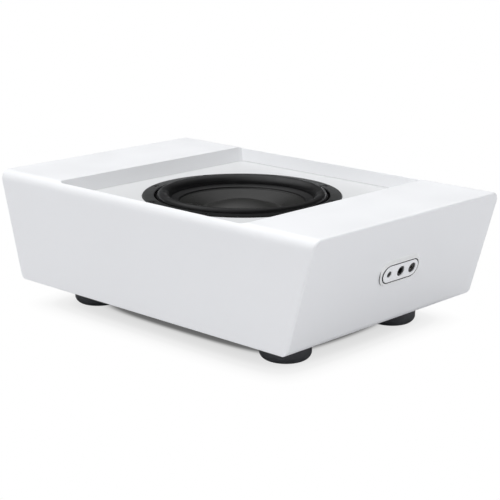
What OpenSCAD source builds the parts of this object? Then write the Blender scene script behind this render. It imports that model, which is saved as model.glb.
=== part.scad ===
// Low, wedge-ended subwoofer with an up-firing woofer in a square recess.
// Frame: millimetres, +Z up, X along the length, -Y is the front.
// Origin: on the floor under the middle of the cabinet.
// Name endings: _r radius, _h height, _t thickness. Names starting with z_ are levels.

/* [Cabinet] */
// Length of the top face, end to end
cab_length = 460; // [440:1:500]
// Depth of the cabinet, front face to back face
cab_depth = 296; // [290:1:320]
// Height of the cabinet without its feet
cab_h = 118.5; // [116:0.5:130]
// How far each end face leans in from its top edge to its bottom edge
end_inset = 33.3; // [24:0.1:36]
// Radius along the long top edges
top_edge_r = 11.5; // [6:0.5:14]
// Small radius along the long bottom edges
bottom_edge_r = 1.5; // [0.5:0.5:4]
// Radius where each end face turns under the cabinet
end_edge_r = 10; // [4:0.5:12]
// Thickness of the side, end and bottom panels
wall_t = 12; // [11:0.5:13]
// Thickness of the top board the recess is milled into
top_board_t = 28; // [27.5:0.5:29]

/* [Recess] */
// Opening of the recess along X at the top face
recess_length = 273.5; // [265:0.5:280]
// Opening of the recess along Y at the top face
recess_width = 283; // [276:0.5:284]
// Depth of the recess floor under the top face
recess_depth = 16; // [15.5:0.5:16.5]
// How far the end walls of the recess lean in over their height
recess_lean_x = 8.5; // [4:0.5:12]
// How far the front and back walls of the recess lean in
recess_lean_y = 7; // [4:0.5:10]

/* [Feet] */
// Height of a foot, which is also the gap under the cabinet
foot_h = 28; // [24:0.5:32]
// Outer radius of a foot
foot_r = 26.5; // [24:0.5:30]
// Radius of the rounded lower edge of a foot
foot_edge_r = 8.5; // [6:0.5:13]
// Distance of a foot from the middle along X
foot_x = 140; // [130:1:148]
// Distance of a foot from the middle along Y
foot_y = 85; // [78:1:95]

/* [Woofer] */
// Outer radius of the woofer flange and its trim ring
woofer_r = 107.2; // [106.5:0.1:108]
// Outer foot radius of the surround roll
roll_outer_r = 91.5; // [91:0.1:91.8]
// Inner foot radius of the surround roll
roll_inner_r = 77.3; // [77:0.1:78]
// Height of the roll over the line between its feet
roll_h = 6.75; // [5:0.25:8]
// Radius of the dust cap
cap_r = 40; // [34:0.5:44]
// Height of the dust cap
cap_h = 10; // [9:0.2:14]
// Pitch circle radius of the woofer screws
screw_circle_r = 101.8; // [101.6:0.1:102.2]
// Number of woofer screws
screw_count = 8; // [4:1:10]

/* [Sockets] */
// Length of the connector plate
plate_length = 54.8; // [54:0.2:56]
// Height of the connector plate
plate_h = 18.2; // [18:0.1:18.6]
// How far the plate stands out of the end face
plate_out = 2; // [1.5:0.1:2.2]
// Radius of the two socket holes in the plate
jack_hole_r = 5.5; // [5:0.1:6]
// Radius of the button hole in the plate
button_hole_r = 3.4; // [2.9:0.05:3.6]
// Width of the open line round the plate
plate_gap = 1.2; // [0.5:0.1:1.6]

/* [Hidden] */
$fn = 96;
overlap = 0.01;
z_under = foot_h;                   // underside of the cabinet
z_top = foot_h + cab_h;             // top face
z_recess = z_top - recess_depth;    // recess floor
z_ceiling = z_top - top_board_t;    // underside of the top board
z_inside = z_under + wall_t;        // top of the bottom panel
z_sockets = z_top - cab_h / 2;      // middle of the socket group
end_lean = atan(end_inset / cab_h); // angle of the end faces from upright
end_wall_x = wall_t / cos(end_lean); // end panel thickness measured along X
inner_y = cab_depth / 2 - wall_t;   // inner face of the front and back panels
circuit_t = 1.6;                    // thickness of both circuit boards

// ---------------------------------------------------------------- helpers
// half length of the cabinet at height z
function half_length(z) = cab_length / 2 - end_inset * (z_top - z) / cab_h;
function arc(x, y, r, from, to, steps = 10) =
    [for (i = [0:steps]) let (a = from + (to - from) * i / steps) [x + r * cos(a), y + r * sin(a)]];
function reversed(points) = [for (i = [len(points) - 1:-1:0]) points[i]];
// rounded lower corner at the +X end, from the underside up to the end face
function end_corner() = arc(half_length(z_under) - end_edge_r * cos(end_lean) / (1 + sin(end_lean)),
    z_under + end_edge_r, end_edge_r, -90, -end_lean, 14);

// profiles drawn in Y-Z and swept along X, or drawn in X-Z and swept along Y
module along_x(length) { rotate([90, 0, 90]) linear_extrude(length, center = true) children(); }
module along_y(length) { rotate([90, 0, 0]) linear_extrude(length, center = true) children(); }
// upright cylinder starting at height z
module rod(z, h, r) { translate([0, 0, z]) cylinder(h = h, r = r); }
module stadium(half_span, r) {
    union() {
        square([2 * half_span, 2 * r], center = true);
        for (s = [-1, 1]) translate([s * half_span, 0]) circle(r, $fn = 64);
    }
}
// pan-head screw, head upward, with the underside of the head at z = 0
module pan_screw(shank_h, shank_r) {
    difference() {
        union() {
            cylinder(h = 2, r = 2.8, $fn = 32);
            rod(z = 0.1 - shank_h, h = shank_h, r = shank_r, $fn = 24);
        }
        rod(z = 1, h = 2, r = 1.2, $fn = 6);
    }
}

// ---------------------------------------------------------------- cabinet
cutout_r = 96;             // woofer cut-out
rebate_r = woofer_r + 0.5; // woofer rebate
rebate_depth = 5;          // depth of the rebate under the recess floor
rail_size = 15;            // section of the screw rails
rail_y = inner_y - rail_size / 2;
rail_length = 362;
seal_t = 1;
bottom_screw_xs = [-160:80:160];
brace_x = 102;

module at_bottom_screws() {
    for (x = bottom_screw_xs, s = [-1, 1]) translate([x, s * rail_y, 0]) children();
}
// cross-section of the recess, carried 2 mm past the top face
function recess_section(opening, lean) =
    let (up = 2, half_top = opening / 2 + lean / recess_depth * up, half_floor = opening / 2 - lean)
    [[-half_floor, z_recess], [half_floor, z_recess], [half_top, z_top + up], [-half_top, z_top + up]];
module recess_cut() {
    intersection() {
        along_y(cab_depth + 10) polygon(recess_section(recess_length, recess_lean_x));
        along_x(cab_length) polygon(recess_section(recess_width, recess_lean_y));
    }
}
module top_baffle() {
    half_depth = cab_depth / 2;
    arc_y = half_depth - top_edge_r;
    arc_z = z_top - top_edge_r;
    low_x = half_length(z_ceiling);
    high_x = half_length(z_top);
    color("whitesmoke") difference() {
        intersection() {
            along_x(cab_length + 20) polygon(concat(
                [[-half_depth, z_ceiling], [half_depth, z_ceiling]],
                arc(arc_y, arc_z, top_edge_r, 0, 90),
                arc(-arc_y, arc_z, top_edge_r, 90, 180)));
            along_y(cab_depth + 20) polygon(
                [[-low_x, z_ceiling], [low_x, z_ceiling], [high_x, z_top], [-high_x, z_top]]);
        }
        recess_cut();
        rod(z = z_ceiling - 1, h = top_board_t, r = cutout_r);
        rod(z = z_recess - rebate_depth, h = rebate_depth + 1, r = rebate_r);
        at_woofer_screws() rod(z = -11.6, h = 8, r = 2.05, $fn = 24);
    }
}
// long panel on the +Y side, trimmed to the end faces and their lower corners
module side_panel() {
    corner = end_corner();
    top_x = half_length(z_ceiling);
    intersection() {
        along_x(cab_length + 20) polygon(concat([[inner_y, z_under]],
            arc(cab_depth / 2 - bottom_edge_r, z_under + bottom_edge_r, bottom_edge_r, -90, 0),
            [[cab_depth / 2, z_ceiling], [inner_y, z_ceiling]]));
        along_y(cab_depth + 20) polygon(concat(corner, [[top_x, z_ceiling], [-top_x, z_ceiling]],
            [for (p = reversed(corner)) [-p[0], p[1]]]));
    }
}
module front_panel() { color("whitesmoke") mirror([0, 1, 0]) side_panel(); }
module back_panel() { color("whitesmoke") side_panel(); }
// end panel on the +X side
module end_slab() {
    top_x = half_length(z_ceiling);
    along_y(2 * inner_y) polygon(concat([[half_length(z_under) - end_wall_x, z_under]], end_corner(),
        [[top_x, z_ceiling], [top_x - end_wall_x, z_ceiling]]));
}
module left_end_panel() { color("whitesmoke") mirror([1, 0, 0]) end_slab(); }
module right_end_panel() {
    color("whitesmoke") difference() {
        end_slab();
        on_end() socket_stadium(z = -wall_t - 1, h = wall_t + 2, r = plate_h / 2 + 2.3);
        on_end() at_jack_screws() rod(z = -wall_t - 1, h = 7.5, r = 1.45, $fn = 24);
    }
}
module bottom_panel() {
    color("dimgray") difference() {
        translate([0, 0, z_under + wall_t / 2])
            cube([2 * (half_length(z_under) - end_wall_x) - 1, 2 * inner_y - 0.6, wall_t], center = true);
        at_bottom_screws() translate([0, 0, z_under]) {
            rod(z = -1, h = wall_t + 2, r = 2.3, $fn = 32);
            translate([0, 0, -overlap]) cylinder(h = 2.4, r1 = 4.5, r2 = 2.3, $fn = 32);
        }
        at_feet() rod(z = z_under - 1, h = 11.4, r = 2.45, $fn = 32);
        at_board_screws() rod(z = z_inside - 6, h = 7, r = 1.55, $fn = 24);
    }
}
// flat frame between the bottom panel and the rails
module bottom_seal() {
    color("black") difference() {
        translate([0, 0, z_inside + seal_t / 2]) cube([360, 2 * inner_y - 0.8, seal_t], center = true);
        translate([0, 0, z_inside + seal_t / 2])
            cube([352, 2 * (inner_y - rail_size) + 2, 3], center = true);
        at_bottom_screws() rod(z = z_inside - 1, h = 4, r = 2.6, $fn = 32);
    }
}
module rail_bar(side) {
    translate([0, side * rail_y, z_inside]) difference() {
        translate([0, 0, seal_t + rail_size / 2]) cube([rail_length, rail_size, rail_size], center = true);
        for (x = bottom_screw_xs) translate([x, 0, 0]) cylinder(h = 13.5, r = 2.05, $fn = 24);
    }
}
module front_rail() { color("burlywood") rail_bar(-1); }
module back_rail() { color("burlywood") rail_bar(1); }
// upright rib with an oval window, notched over the rails
module brace(x) {
    gap = 2; // space under the rib
    translate([x, 0, 0]) difference() {
        translate([0, 0, (z_inside + gap + z_ceiling) / 2])
            cube([wall_t, 2 * inner_y, z_ceiling - z_inside - gap], center = true);
        for (s = [-1, 1]) translate([0, s * (rail_y + 0.1), z_inside + rail_size / 2])
            cube([wall_t + 2, rail_size + 0.2, rail_size + 2.2], center = true);
        translate([0, 0, (z_inside + z_ceiling) / 2 + 1]) along_x(wall_t + 2) stadium(58, 29);
    }
}
module left_brace() { color("burlywood") brace(-brace_x); }
module right_brace() { color("burlywood") brace(brace_x); }
// countersunk screws, heads down
module bottom_screws() {
    length = 25;
    head_h = 2.2;
    shank_r = 2;
    color("dimgray") at_bottom_screws() translate([0, 0, z_under + 0.05]) difference() {
        union() {
            cylinder(h = head_h, r1 = 4.2, r2 = shank_r, $fn = 32);
            rod(z = head_h - overlap, h = length - head_h, r = shank_r, $fn = 24);
        }
        rod(z = -1, h = 2, r = 1.4, $fn = 6);
    }
}

// ---------------------------------------------------------------- feet
foot_ledge_z = 12; // ledge inside a foot that the washer bears on
washer_t = 1.2;
washer_z = foot_ledge_z - washer_t;

module at_feet() {
    for (sx = [-1, 1], sy = [-1, 1]) translate([sx * foot_x, sy * foot_y, 0]) children();
}
module foot(side_x, side_y) {
    bore_r = 2.6;
    well_r = 7.5;
    chamfer = 1.2;
    color([0.08, 0.08, 0.09]) translate([side_x * foot_x, side_y * foot_y, 0])
        rotate_extrude($fn = 96) polygon(concat(
            [[bore_r, foot_h], [bore_r, foot_ledge_z], [well_r, foot_ledge_z], [well_r, 0]],
            arc(foot_r - foot_edge_r, foot_edge_r, foot_edge_r, -90, 0, 12),
            [[foot_r, foot_h - chamfer], [foot_r - chamfer, foot_h]]));
}
module foot_front_left() { foot(-1, -1); }
module foot_front_right() { foot(1, -1); }
module foot_back_left() { foot(-1, 1); }
module foot_back_right() { foot(1, 1); }
module foot_washers() {
    color("silver") at_feet() translate([0, 0, washer_z]) difference() {
        cylinder(h = washer_t, r = 6.5, $fn = 48);
        rod(z = -1, h = 4, r = 2.6, $fn = 32);
    }
}
module foot_screws() {
    head_h = 3;
    reach = 10; // length above the underside of the cabinet
    color("silver") at_feet() difference() {
        union() {
            translate([0, 0, washer_z - head_h]) cylinder(h = head_h, r1 = 4, r2 = 4.8, $fn = 32);
            rod(z = washer_z - overlap, h = foot_h + reach - washer_z, r = 2.4, $fn = 32);
        }
        rod(z = washer_z - head_h - 1, h = 2.6, r = 1.8, $fn = 6);
    }
}

// ---------------------------------------------------------------- wadding
// box between two opposite corners
module block(from, to) { translate(from) cube(to - from); }
// pad along a long panel, from y to y + 22
module wadding_strip(y) { block([-92, y, z_inside + 19], [92, y + 22, z_ceiling - 3]); }
module wadding_left() {
    color("ghostwhite") block([-184, -116, z_inside + 3], [-134, 116, z_ceiling - 3]);
}
module wadding_front() { color("ghostwhite") wadding_strip(-inner_y + 2); }
module wadding_back() { color("ghostwhite") wadding_strip(inner_y - 24); }

// ---------------------------------------------------------------- woofer
// Levels and profile points [radius, height] count from the recess floor.
flange_top = -1;
flange_bottom = -4;
rim_top = -0.2;      // top of the flat rim of the surround
top_plate_top = -44;
magnet_top = -50;
magnet_bottom = -66;
former_r = 19.2;     // outer radius of the coil former
lip_r = 68;          // inner edge of the surround lip
lip_level = -7.2;
cone_r = 76.5;
lug_x = 71.6;
lug_y = 7;

module turned(points) { translate([0, 0, z_recess]) rotate_extrude($fn = 128) polygon(points); }
module ring_of(count, start) {
    for (i = [0:count - 1]) rotate([0, 0, start + i * 360 / count]) children();
}
module at_woofer_screws() {
    ring_of(screw_count, 22.5) translate([screw_circle_r, 0, z_recess]) children();
}
module at_motor_screws() { ring_of(4, 45) translate([40, 0, z_recess]) children(); }

module mounting_gasket() {
    color("black") difference() {
        turned([[97, -rebate_depth], [106.5, -rebate_depth],
                [106.5, flange_bottom], [97, flange_bottom]]);
        at_woofer_screws() rod(z = -6, h = 4, r = 2.4, $fn = 24);
    }
}
// pressed frame with six windows in its sloping wall
module basket() {
    window_angle = 38;
    color([0.12, 0.12, 0.13]) difference() {
        turned([[92, flange_top], [92, flange_bottom], [87, -12.5], [58.5, -30], [50, -30],
                [50, -41.5], [30, -41.5], [30, top_plate_top], [52.5, top_plate_top],
                [52.5, -32.5], [60.5, -32.5], [90, -14.5], [95.4, flange_bottom],
                [woofer_r, flange_bottom], [woofer_r, flange_top]]);
        ring_of(6, -window_angle / 2) translate([0, 0, z_recess])
            rotate_extrude(angle = window_angle, $fn = 96)
                polygon([[64, -36], [64, -24], [85, -10], [93, -10], [93, -18]]);
        at_woofer_screws() rod(z = -6, h = 7, r = 2.3, $fn = 24);
        at_motor_screws() rod(z = -46, h = 6, r = 2.6, $fn = 24);
    }
}
// underside of the surround lip, and top of the cone under and inside it
function lip_z(r) = lip_level + (r - lip_r) * 0.215;
function cone_z(r) = r > lip_r ? lip_z(r) : lip_level - (lip_r - r) * 0.31;
// half roll over a base line that eases down towards its inner foot
function roll_arc(half_width, height, steps = 20) =
    [for (i = [0:steps]) let (a = 180 * i / steps)
        [(roll_outer_r + roll_inner_r) / 2 + half_width * cos(a),
         -0.6 - 3.7 * (1 - cos(a)) / 2 + height * sin(a)]];
module surround() {
    skin_t = 0.9;
    half_width = (roll_outer_r - roll_inner_r) / 2;
    color([0.13, 0.13, 0.14]) turned(concat(
        [[98, flange_top], [98, rim_top], [roll_outer_r + 0.4, rim_top]],
        roll_arc(half_width, roll_h),
        [[lip_r, lip_z(lip_r) + skin_t], [lip_r, lip_z(lip_r)], [cone_r, lip_z(cone_r)]],
        reversed(roll_arc(half_width - skin_t, roll_h - skin_t)),
        [[roll_outer_r - 0.3, flange_top]]));
}
module trim_ring() {
    color([0.16, 0.16, 0.17]) difference() {
        turned([[98.3, flange_top], [woofer_r, flange_top], [woofer_r, 0.6], [woofer_r - 0.6, 1.2],
                [95.6, 1.2], [95, 0.6], [95, rim_top], [98.3, rim_top]]);
        at_woofer_screws() {
            rod(z = -2, h = 4, r = 2.3, $fn = 24);
            rod(z = -0.1, h = 3, r = 4.1, $fn = 32);
        }
    }
}
module driver_screws() {
    color([0.05, 0.05, 0.05]) at_woofer_screws() difference() {
        union() {
            rod(z = -0.1, h = 1.1, r = 3.9, $fn = 32);
            rod(z = -11, h = 11, r = 2, $fn = 24);
        }
        rod(z = 0.3, h = 1, r = 1.6, $fn = 6);
    }
}
module cone() {
    paper_t = 1.1;
    color([0.15, 0.15, 0.16]) turned([
        [cone_r, cone_z(cone_r)], [lip_r, cone_z(lip_r)], [former_r, cone_z(former_r)],
        [former_r, cone_z(former_r) - paper_t], [lip_r, cone_z(lip_r) - paper_t],
        [cone_r, cone_z(cone_r) - 1]]);
}
// arc of a sphere from its top at the axis down to its rim
function dome(rim_r, rise, top, steps = 12) =
    let (sphere_r = (rim_r * rim_r + rise * rise) / (2 * rise), rim_angle = asin(rim_r / sphere_r))
    [for (i = [0:steps]) let (a = rim_angle * i / steps)
        [sphere_r * sin(a), top - sphere_r * (1 - cos(a))]];
// spherical cap whose rim rests on the cone
module dust_cap() {
    skin_t = 0.9;
    inner_r = cap_r - 1;
    top = cone_z(cap_r) + cap_h;
    inner_top = top - skin_t;
    color([0.17, 0.17, 0.18]) turned(concat(
        dome(cap_r, cap_h, top),
        reversed(dome(inner_r, inner_top - cone_z(inner_r), inner_top))));
}
module coil_former() {
    color("silver") turned([[19, -20], [former_r, -20], [former_r, -55], [19, -55]]);
}
module voice_coil() {
    color("peru") turned([[former_r, -40], [20.2, -40], [20.2, -54], [former_r, -54]]);
}
// corrugated disc with five waves between the former and the basket ledge
module spider() {
    inner_r = 21.5;
    outer_r = 49;
    half_t = 0.3;
    function waves(offset, steps = 48) = [for (i = [0:steps])
        [inner_r + (outer_r - inner_r) * i / steps, -29.6 + 1.3 * sin(360 * 5 * i / steps) + offset]];
    color("goldenrod") turned(concat(
        [[former_r, -27.6], [19.8, -27.6], [20.4, -29]],
        waves(half_t),
        [[58, -29.3], [58, -30], [49.4, -30]],
        reversed(waves(-half_t)),
        [[19.8, -30], [former_r, -30]]));
}
module top_plate() {
    color("gray") difference() {
        turned([[20.75, top_plate_top], [50, top_plate_top], [50, magnet_top], [20.75, magnet_top]]);
        at_motor_screws() rod(z = -51, h = 8, r = 2.5, $fn = 24);
    }
}
module magnet() {
    color([0.2, 0.2, 0.22]) turned([[25, magnet_top], [54, magnet_top], [55, magnet_top - 1],
        [55, magnet_bottom + 1], [54, magnet_bottom], [25, magnet_bottom]]);
}
module pole_yoke() {
    color("gray") turned([[6, top_plate_top], [17.8, top_plate_top], [18.3, top_plate_top - 0.5],
        [18.3, magnet_bottom], [50, magnet_bottom], [50, -71], [49, -72], [8, -72], [6, -70]]);
}
module motor_screws() {
    color("silver") at_motor_screws() difference() {
        union() {
            rod(z = -41.5, h = 2.6, r = 4, $fn = 32);
            rod(z = -49.6, h = 8.2, r = 2.45, $fn = 24);
        }
        rod(z = -40.2, h = 2, r = 2, $fn = 6);
    }
}
// pair of flat upright bars, used for the lugs and for their slots
module lug_bars(z, h) {
    for (s = [-1, 1]) translate([lug_x, s * lug_y - 2.4, z_recess + z]) cube([0.8, 4.8, h]);
}
module terminal_strip() {
    color("saddlebrown") difference() {
        translate([54, -12, z_recess - 34.5]) cube([24, 24, 2]);
        lug_bars(z = -36, h = 5);
    }
}
module terminal_lugs() { color("gold") lug_bars(z = -41, h = 12); }
// flexible braid from each lug in to the coil former, under the cone
module tinsel_leads() {
    bend_r = 49.6;
    half_angle = 30;
    color("peru") for (s = [-1, 1])
        translate([46.2, s * lug_y, z_recess - 26.6]) rotate([0, 4.4, 0])
            translate([0, 0, -bend_r * cos(half_angle)])
                rotate([90, 0, 0]) rotate([0, 0, 90 - half_angle])
                    rotate_extrude(angle = 2 * half_angle, $fn = 96)
                        translate([bend_r, 0]) circle(r = 0.7, $fn = 16);
}

// ---------------------------------------------------------------- sockets
hole_pitch = (plate_length - plate_h) / 2; // spacing of the holes in the plate
bracket_back = -15.4;                      // inner face of the bracket, and of the jacks

// frame on the right end face: x along Y, y up the face, z straight out of it
module on_end() {
    translate([half_length(z_sockets), 0, z_sockets])
        rotate([0, end_lean, 0]) rotate([90, 0, 90]) children();
}
module at_jack_screws() { for (x = [-34, 34], y = [-13, 13]) translate([x, y, 0]) children(); }
// stadium slab round the row of three holes
module socket_stadium(z, h, r) { translate([0, 0, z]) linear_extrude(h) stadium(hole_pitch, r); }

// raised surround with sloping flanks and a body through the end panel
module socket_bezel() {
    base_r = plate_h / 2 + 4.2;
    opening_r = plate_h / 2 + plate_gap;
    crest_r = opening_r + 0.8;
    base_z = 0.02;
    crest_z = plate_out + 0.1;
    color("whitesmoke") on_end() difference() {
        union() {
            for (s = [-1, 1]) translate([s * hole_pitch, 0, base_z])
                cylinder(h = crest_z - base_z, r1 = base_r, r2 = crest_r, $fn = 64);
            along_x(2 * hole_pitch) polygon(
                [[-base_r, base_z], [base_r, base_z], [crest_r, crest_z], [-crest_r, crest_z]]);
            socket_stadium(z = -10, h = 10.03, r = plate_h / 2 + 2.2);
        }
        socket_stadium(z = -0.5, h = 5, r = opening_r);
        socket_stadium(z = -11, h = 12, r = plate_h / 2 - 0.8);
    }
}
module connector_plate() {
    color("white") on_end() difference() {
        socket_stadium(z = -0.5, h = plate_out + 0.5, r = plate_h / 2);
        translate([-hole_pitch, 0, 0]) rod(z = -2, h = 6, r = button_hole_r, $fn = 48);
        for (x = [0, hole_pitch]) translate([x, 0, 0]) rod(z = -2, h = 6, r = jack_hole_r, $fn = 64);
    }
}
// square jack body with a round nose and collar; children are cut away
module jack_body(nose_r) {
    difference() {
        union() {
            translate([-4.5, -5.5, bracket_back]) cube([9, 11, 12.4]);
            rod(z = -3.1, h = 4.3, r = nose_r, $fn = 64);
            rod(z = -0.4, h = 1.6, r = jack_hole_r - 0.15, $fn = 64);
        }
        children();
    }
}
module power_jack() {
    color([0.1, 0.1, 0.1]) on_end() {
        jack_body(4.3) rod(z = -9, h = 12, r = 2.8, $fn = 48);
        rod(z = -9 - overlap, h = 8.6, r = 1, $fn = 32); // centre pin
    }
}
module line_jack() {
    color([0.1, 0.1, 0.1]) on_end() translate([hole_pitch, 0, 0])
        jack_body(4.15) rod(z = -8, h = 12, r = 1.6, $fn = 32);
}
// stepped button with a dimple in its face and a stem behind
module pairing_button() {
    color([0.08, 0.08, 0.08]) on_end() translate([-hole_pitch, 0, 0]) difference() {
        union() {
            rod(z = -1.5, h = 3, r = button_hole_r - 0.08, $fn = 48);
            rod(z = -1.5, h = 1, r = 3.9, $fn = 48);
            rod(z = -10.5, h = 9.2, r = 1.5, $fn = 32);
        }
        rod(z = 1.1, h = 2, r = 0.8, $fn = 24);
    }
}
module switch_plunger() {
    color("dimgray") on_end() translate([-hole_pitch, 0, 0]) rod(z = -13.4, h = 2.9, r = 1.7, $fn = 32);
}
module switch_body() {
    color("silver") on_end() translate([-hole_pitch, 0, 0]) difference() {
        translate([-3, -3, bracket_back]) cube([6, 6, 3.5]);
        rod(z = -14.2, h = 4, r = 1.78, $fn = 32);
    }
}
// common outline of the bracket and its board
module jack_slab(z, h) { translate([-39, -17, z]) cube([78, 34, h]); }
module jack_bracket() {
    color([0.2, 0.2, 0.2]) on_end() difference() {
        jack_slab(bracket_back, 3.4);
        translate([-29, -11, -17]) cube([58, 22, 6]);
        at_jack_screws() rod(z = -17, h = 6, r = 1.7, $fn = 24);
    }
}
module jack_board() {
    color("darkgreen") on_end() difference() {
        jack_slab(bracket_back - circuit_t, circuit_t);
        at_jack_screws() rod(z = -18, h = 4, r = 1.7, $fn = 24);
    }
}
module jack_screws() {
    color("silver") on_end() at_jack_screws()
        translate([0, 0, bracket_back - circuit_t]) mirror([0, 0, 1]) pan_screw(11, 1.4);
}

// ---------------------------------------------------------------- amplifier
standoff_h = 8;
chip_h = 1.8;
z_amp = z_inside + standoff_h;  // underside of the amplifier board
z_amp_top = z_amp + circuit_t;

module at_board_screws() { for (x = [118, 170], y = [-74, 74]) translate([x, y, 0]) children(); }
module amp_board() {
    color("darkgreen") difference() {
        translate([113, -80, z_amp]) cube([68, 160, circuit_t]);
        at_board_screws() rod(z = z_amp - 1, h = 4, r = 1.7, $fn = 24);
    }
}
module board_standoffs() {
    color("goldenrod") at_board_screws() translate([0, 0, z_inside]) difference() {
        cylinder(h = standoff_h, r = 3.2, $fn = 6);
        rod(z = -1, h = 10, r = 1.55, $fn = 24);
    }
}
module board_screws() {
    color("silver") at_board_screws() translate([0, 0, z_amp_top]) pan_screw(14.1, 1.5);
}
module amp_chip() { color([0.1, 0.1, 0.1]) translate([137, -49, z_amp_top]) cube([14, 18, chip_h]); }
module heat_sink() {
    width = 40;
    depth = 50;
    fin_t = 2;
    fin_count = 8;
    color("silver") translate([124, -65, z_amp_top + chip_h]) union() {
        cube([width, depth, 3]);
        for (i = [0:fin_count - 1])
            translate([i * (width - fin_t) / (fin_count - 1), 0, 2.9]) cube([fin_t, depth, 22]);
    }
}
// upright cans with a rolled groove near the foot
module filter_capacitors() {
    color([0.12, 0.14, 0.3]) for (y = [30, 50, 70]) translate([136, y, z_amp_top]) difference() {
        cylinder(h = 30, r = 9, $fn = 64);
        translate([0, 0, 3.5]) rotate_extrude($fn = 64) translate([9.4, 0]) circle(0.9, $fn = 24);
    }
}
module output_inductors() {
    color("sienna") for (y = [18, 38]) translate([160, y, z_amp_top]) difference() {
        cylinder(h = 9, r = 8, $fn = 48);
        rod(z = -1, h = 12, r = 3, $fn = 32);
    }
}
module radio_module() {
    color("silver") translate([147, 52, z_amp_top]) union() {
        cube([26, 16, 1]);
        translate([1, 1, 0.9]) cube([16, 14, 2.2]);
    }
}
module speaker_header() {
    color("white") translate([114, -12, z_amp_top]) difference() {
        cube([9, 24, 6]);
        for (y = [5, 19]) translate([4.5, y, 0]) rod(z = 1.4, h = 6, r = 3.3, $fn = 32);
    }
}
// two insulated leads hang from the lugs in a double bend out to the header
module speaker_cable() {
    start = [74, z_recess - 38.5];
    span = [118.5, z_amp + 3.2] - start;
    half_t = 1.3;
    steps = 24;
    // centre line in X-Z: a raised-cosine step between the two ends
    function centre(i) = start + [span[0] * (1 - cos(180 * i / steps)) / 2, span[1] * i / steps];
    function slope(i) = [span[0] * PI / 2 * sin(180 * i / steps), span[1]] / steps;
    function edge(offset) = [for (i = [0:steps]) let (d = slope(i))
        centre(i) + offset * [d[1], -d[0]] / norm(d)];
    color("firebrick") for (s = [-1, 1]) translate([0, s * lug_y, 0])
        along_y(2 * half_t) polygon(concat(edge(-half_t), reversed(edge(half_t))));
}
// flat cable hanging in one bend from the socket board to the amplifier board
module jack_cable() {
    x_board = 177;
    x_socket = half_length(z_sockets) - 18.2 / cos(end_lean) - 4.2;
    rise = z_sockets - 12 - z_amp_top;
    cable_t = 0.9; // shift between the two edges along both X and Z
    steps = 14;
    // quarter wave between the two boards
    edge = [for (i = [0:steps]) [x_board + (x_socket - x_board) * i / steps,
                                 z_amp_top + rise * (1 - cos(90 * i / steps))]];
    color("gainsboro") translate([0, -26, 0]) along_y(16)
        polygon(concat(edge, [for (p = reversed(edge)) p + [-cable_t, cable_t]]));
}

top_baffle();
front_panel();
back_panel();
left_end_panel();
right_end_panel();
bottom_panel();
bottom_seal();
front_rail();
back_rail();
left_brace();
right_brace();
bottom_screws();
foot_front_left();
foot_front_right();
foot_back_left();
foot_back_right();
foot_washers();
foot_screws();
wadding_left();
wadding_front();
wadding_back();
mounting_gasket();
basket();
surround();
trim_ring();
driver_screws();
cone();
dust_cap();
coil_former();
voice_coil();
spider();
top_plate();
magnet();
pole_yoke();
motor_screws();
terminal_strip();
terminal_lugs();
tinsel_leads();
socket_bezel();
connector_plate();
power_jack();
line_jack();
pairing_button();
switch_plunger();
switch_body();
jack_bracket();
jack_board();
jack_screws();
amp_board();
board_standoffs();
board_screws();
amp_chip();
heat_sink();
filter_capacitors();
output_inductors();
radio_module();
speaker_header();
speaker_cable();
jack_cable();
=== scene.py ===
# A table loudspeaker: a white cabinet on four feet with a woofer facing up from a recess in its top.
# X runs along the cabinet (right end at +X, with the sockets), Y runs front (-Y) to back, Z is up
# and the floor is at Z 0. Both ends lean in from the top edge down to the bottom edge.
# Lengths are millimetres until a mesh is made.
from math import acos, asin, atan, atan2, ceil, copysign, cos, degrees, pi, radians, sin, sqrt, tan
import bmesh
import bpy
import numpy as np
from mathutils import Matrix, Vector, noise
from mathutils.geometry import delaunay_2d_cdt


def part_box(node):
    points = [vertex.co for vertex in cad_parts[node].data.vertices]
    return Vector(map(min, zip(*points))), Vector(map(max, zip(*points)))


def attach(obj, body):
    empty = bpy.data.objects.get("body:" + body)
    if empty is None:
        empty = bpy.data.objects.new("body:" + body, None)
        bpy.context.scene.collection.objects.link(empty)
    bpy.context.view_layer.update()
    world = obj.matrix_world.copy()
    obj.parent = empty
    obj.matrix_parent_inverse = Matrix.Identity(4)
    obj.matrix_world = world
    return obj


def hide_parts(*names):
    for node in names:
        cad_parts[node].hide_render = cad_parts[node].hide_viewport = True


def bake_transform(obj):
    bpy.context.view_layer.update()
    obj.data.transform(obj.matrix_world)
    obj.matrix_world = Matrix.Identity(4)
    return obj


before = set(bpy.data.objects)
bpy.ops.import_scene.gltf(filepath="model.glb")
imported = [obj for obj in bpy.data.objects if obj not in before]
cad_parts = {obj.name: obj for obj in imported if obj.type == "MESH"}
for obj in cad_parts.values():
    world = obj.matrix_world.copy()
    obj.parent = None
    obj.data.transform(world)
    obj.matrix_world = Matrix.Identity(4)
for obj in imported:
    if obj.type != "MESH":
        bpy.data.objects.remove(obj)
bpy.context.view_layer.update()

scene = bpy.context.scene


def sind(angle):
    return sin(radians(angle))


def cosd(angle):
    return cos(radians(angle))


# ---------------------------------------------------------------- driving sizes
def box_mm(node):
    low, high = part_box(node)
    return np.array(low) * 1000, np.array(high) * 1000


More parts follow.
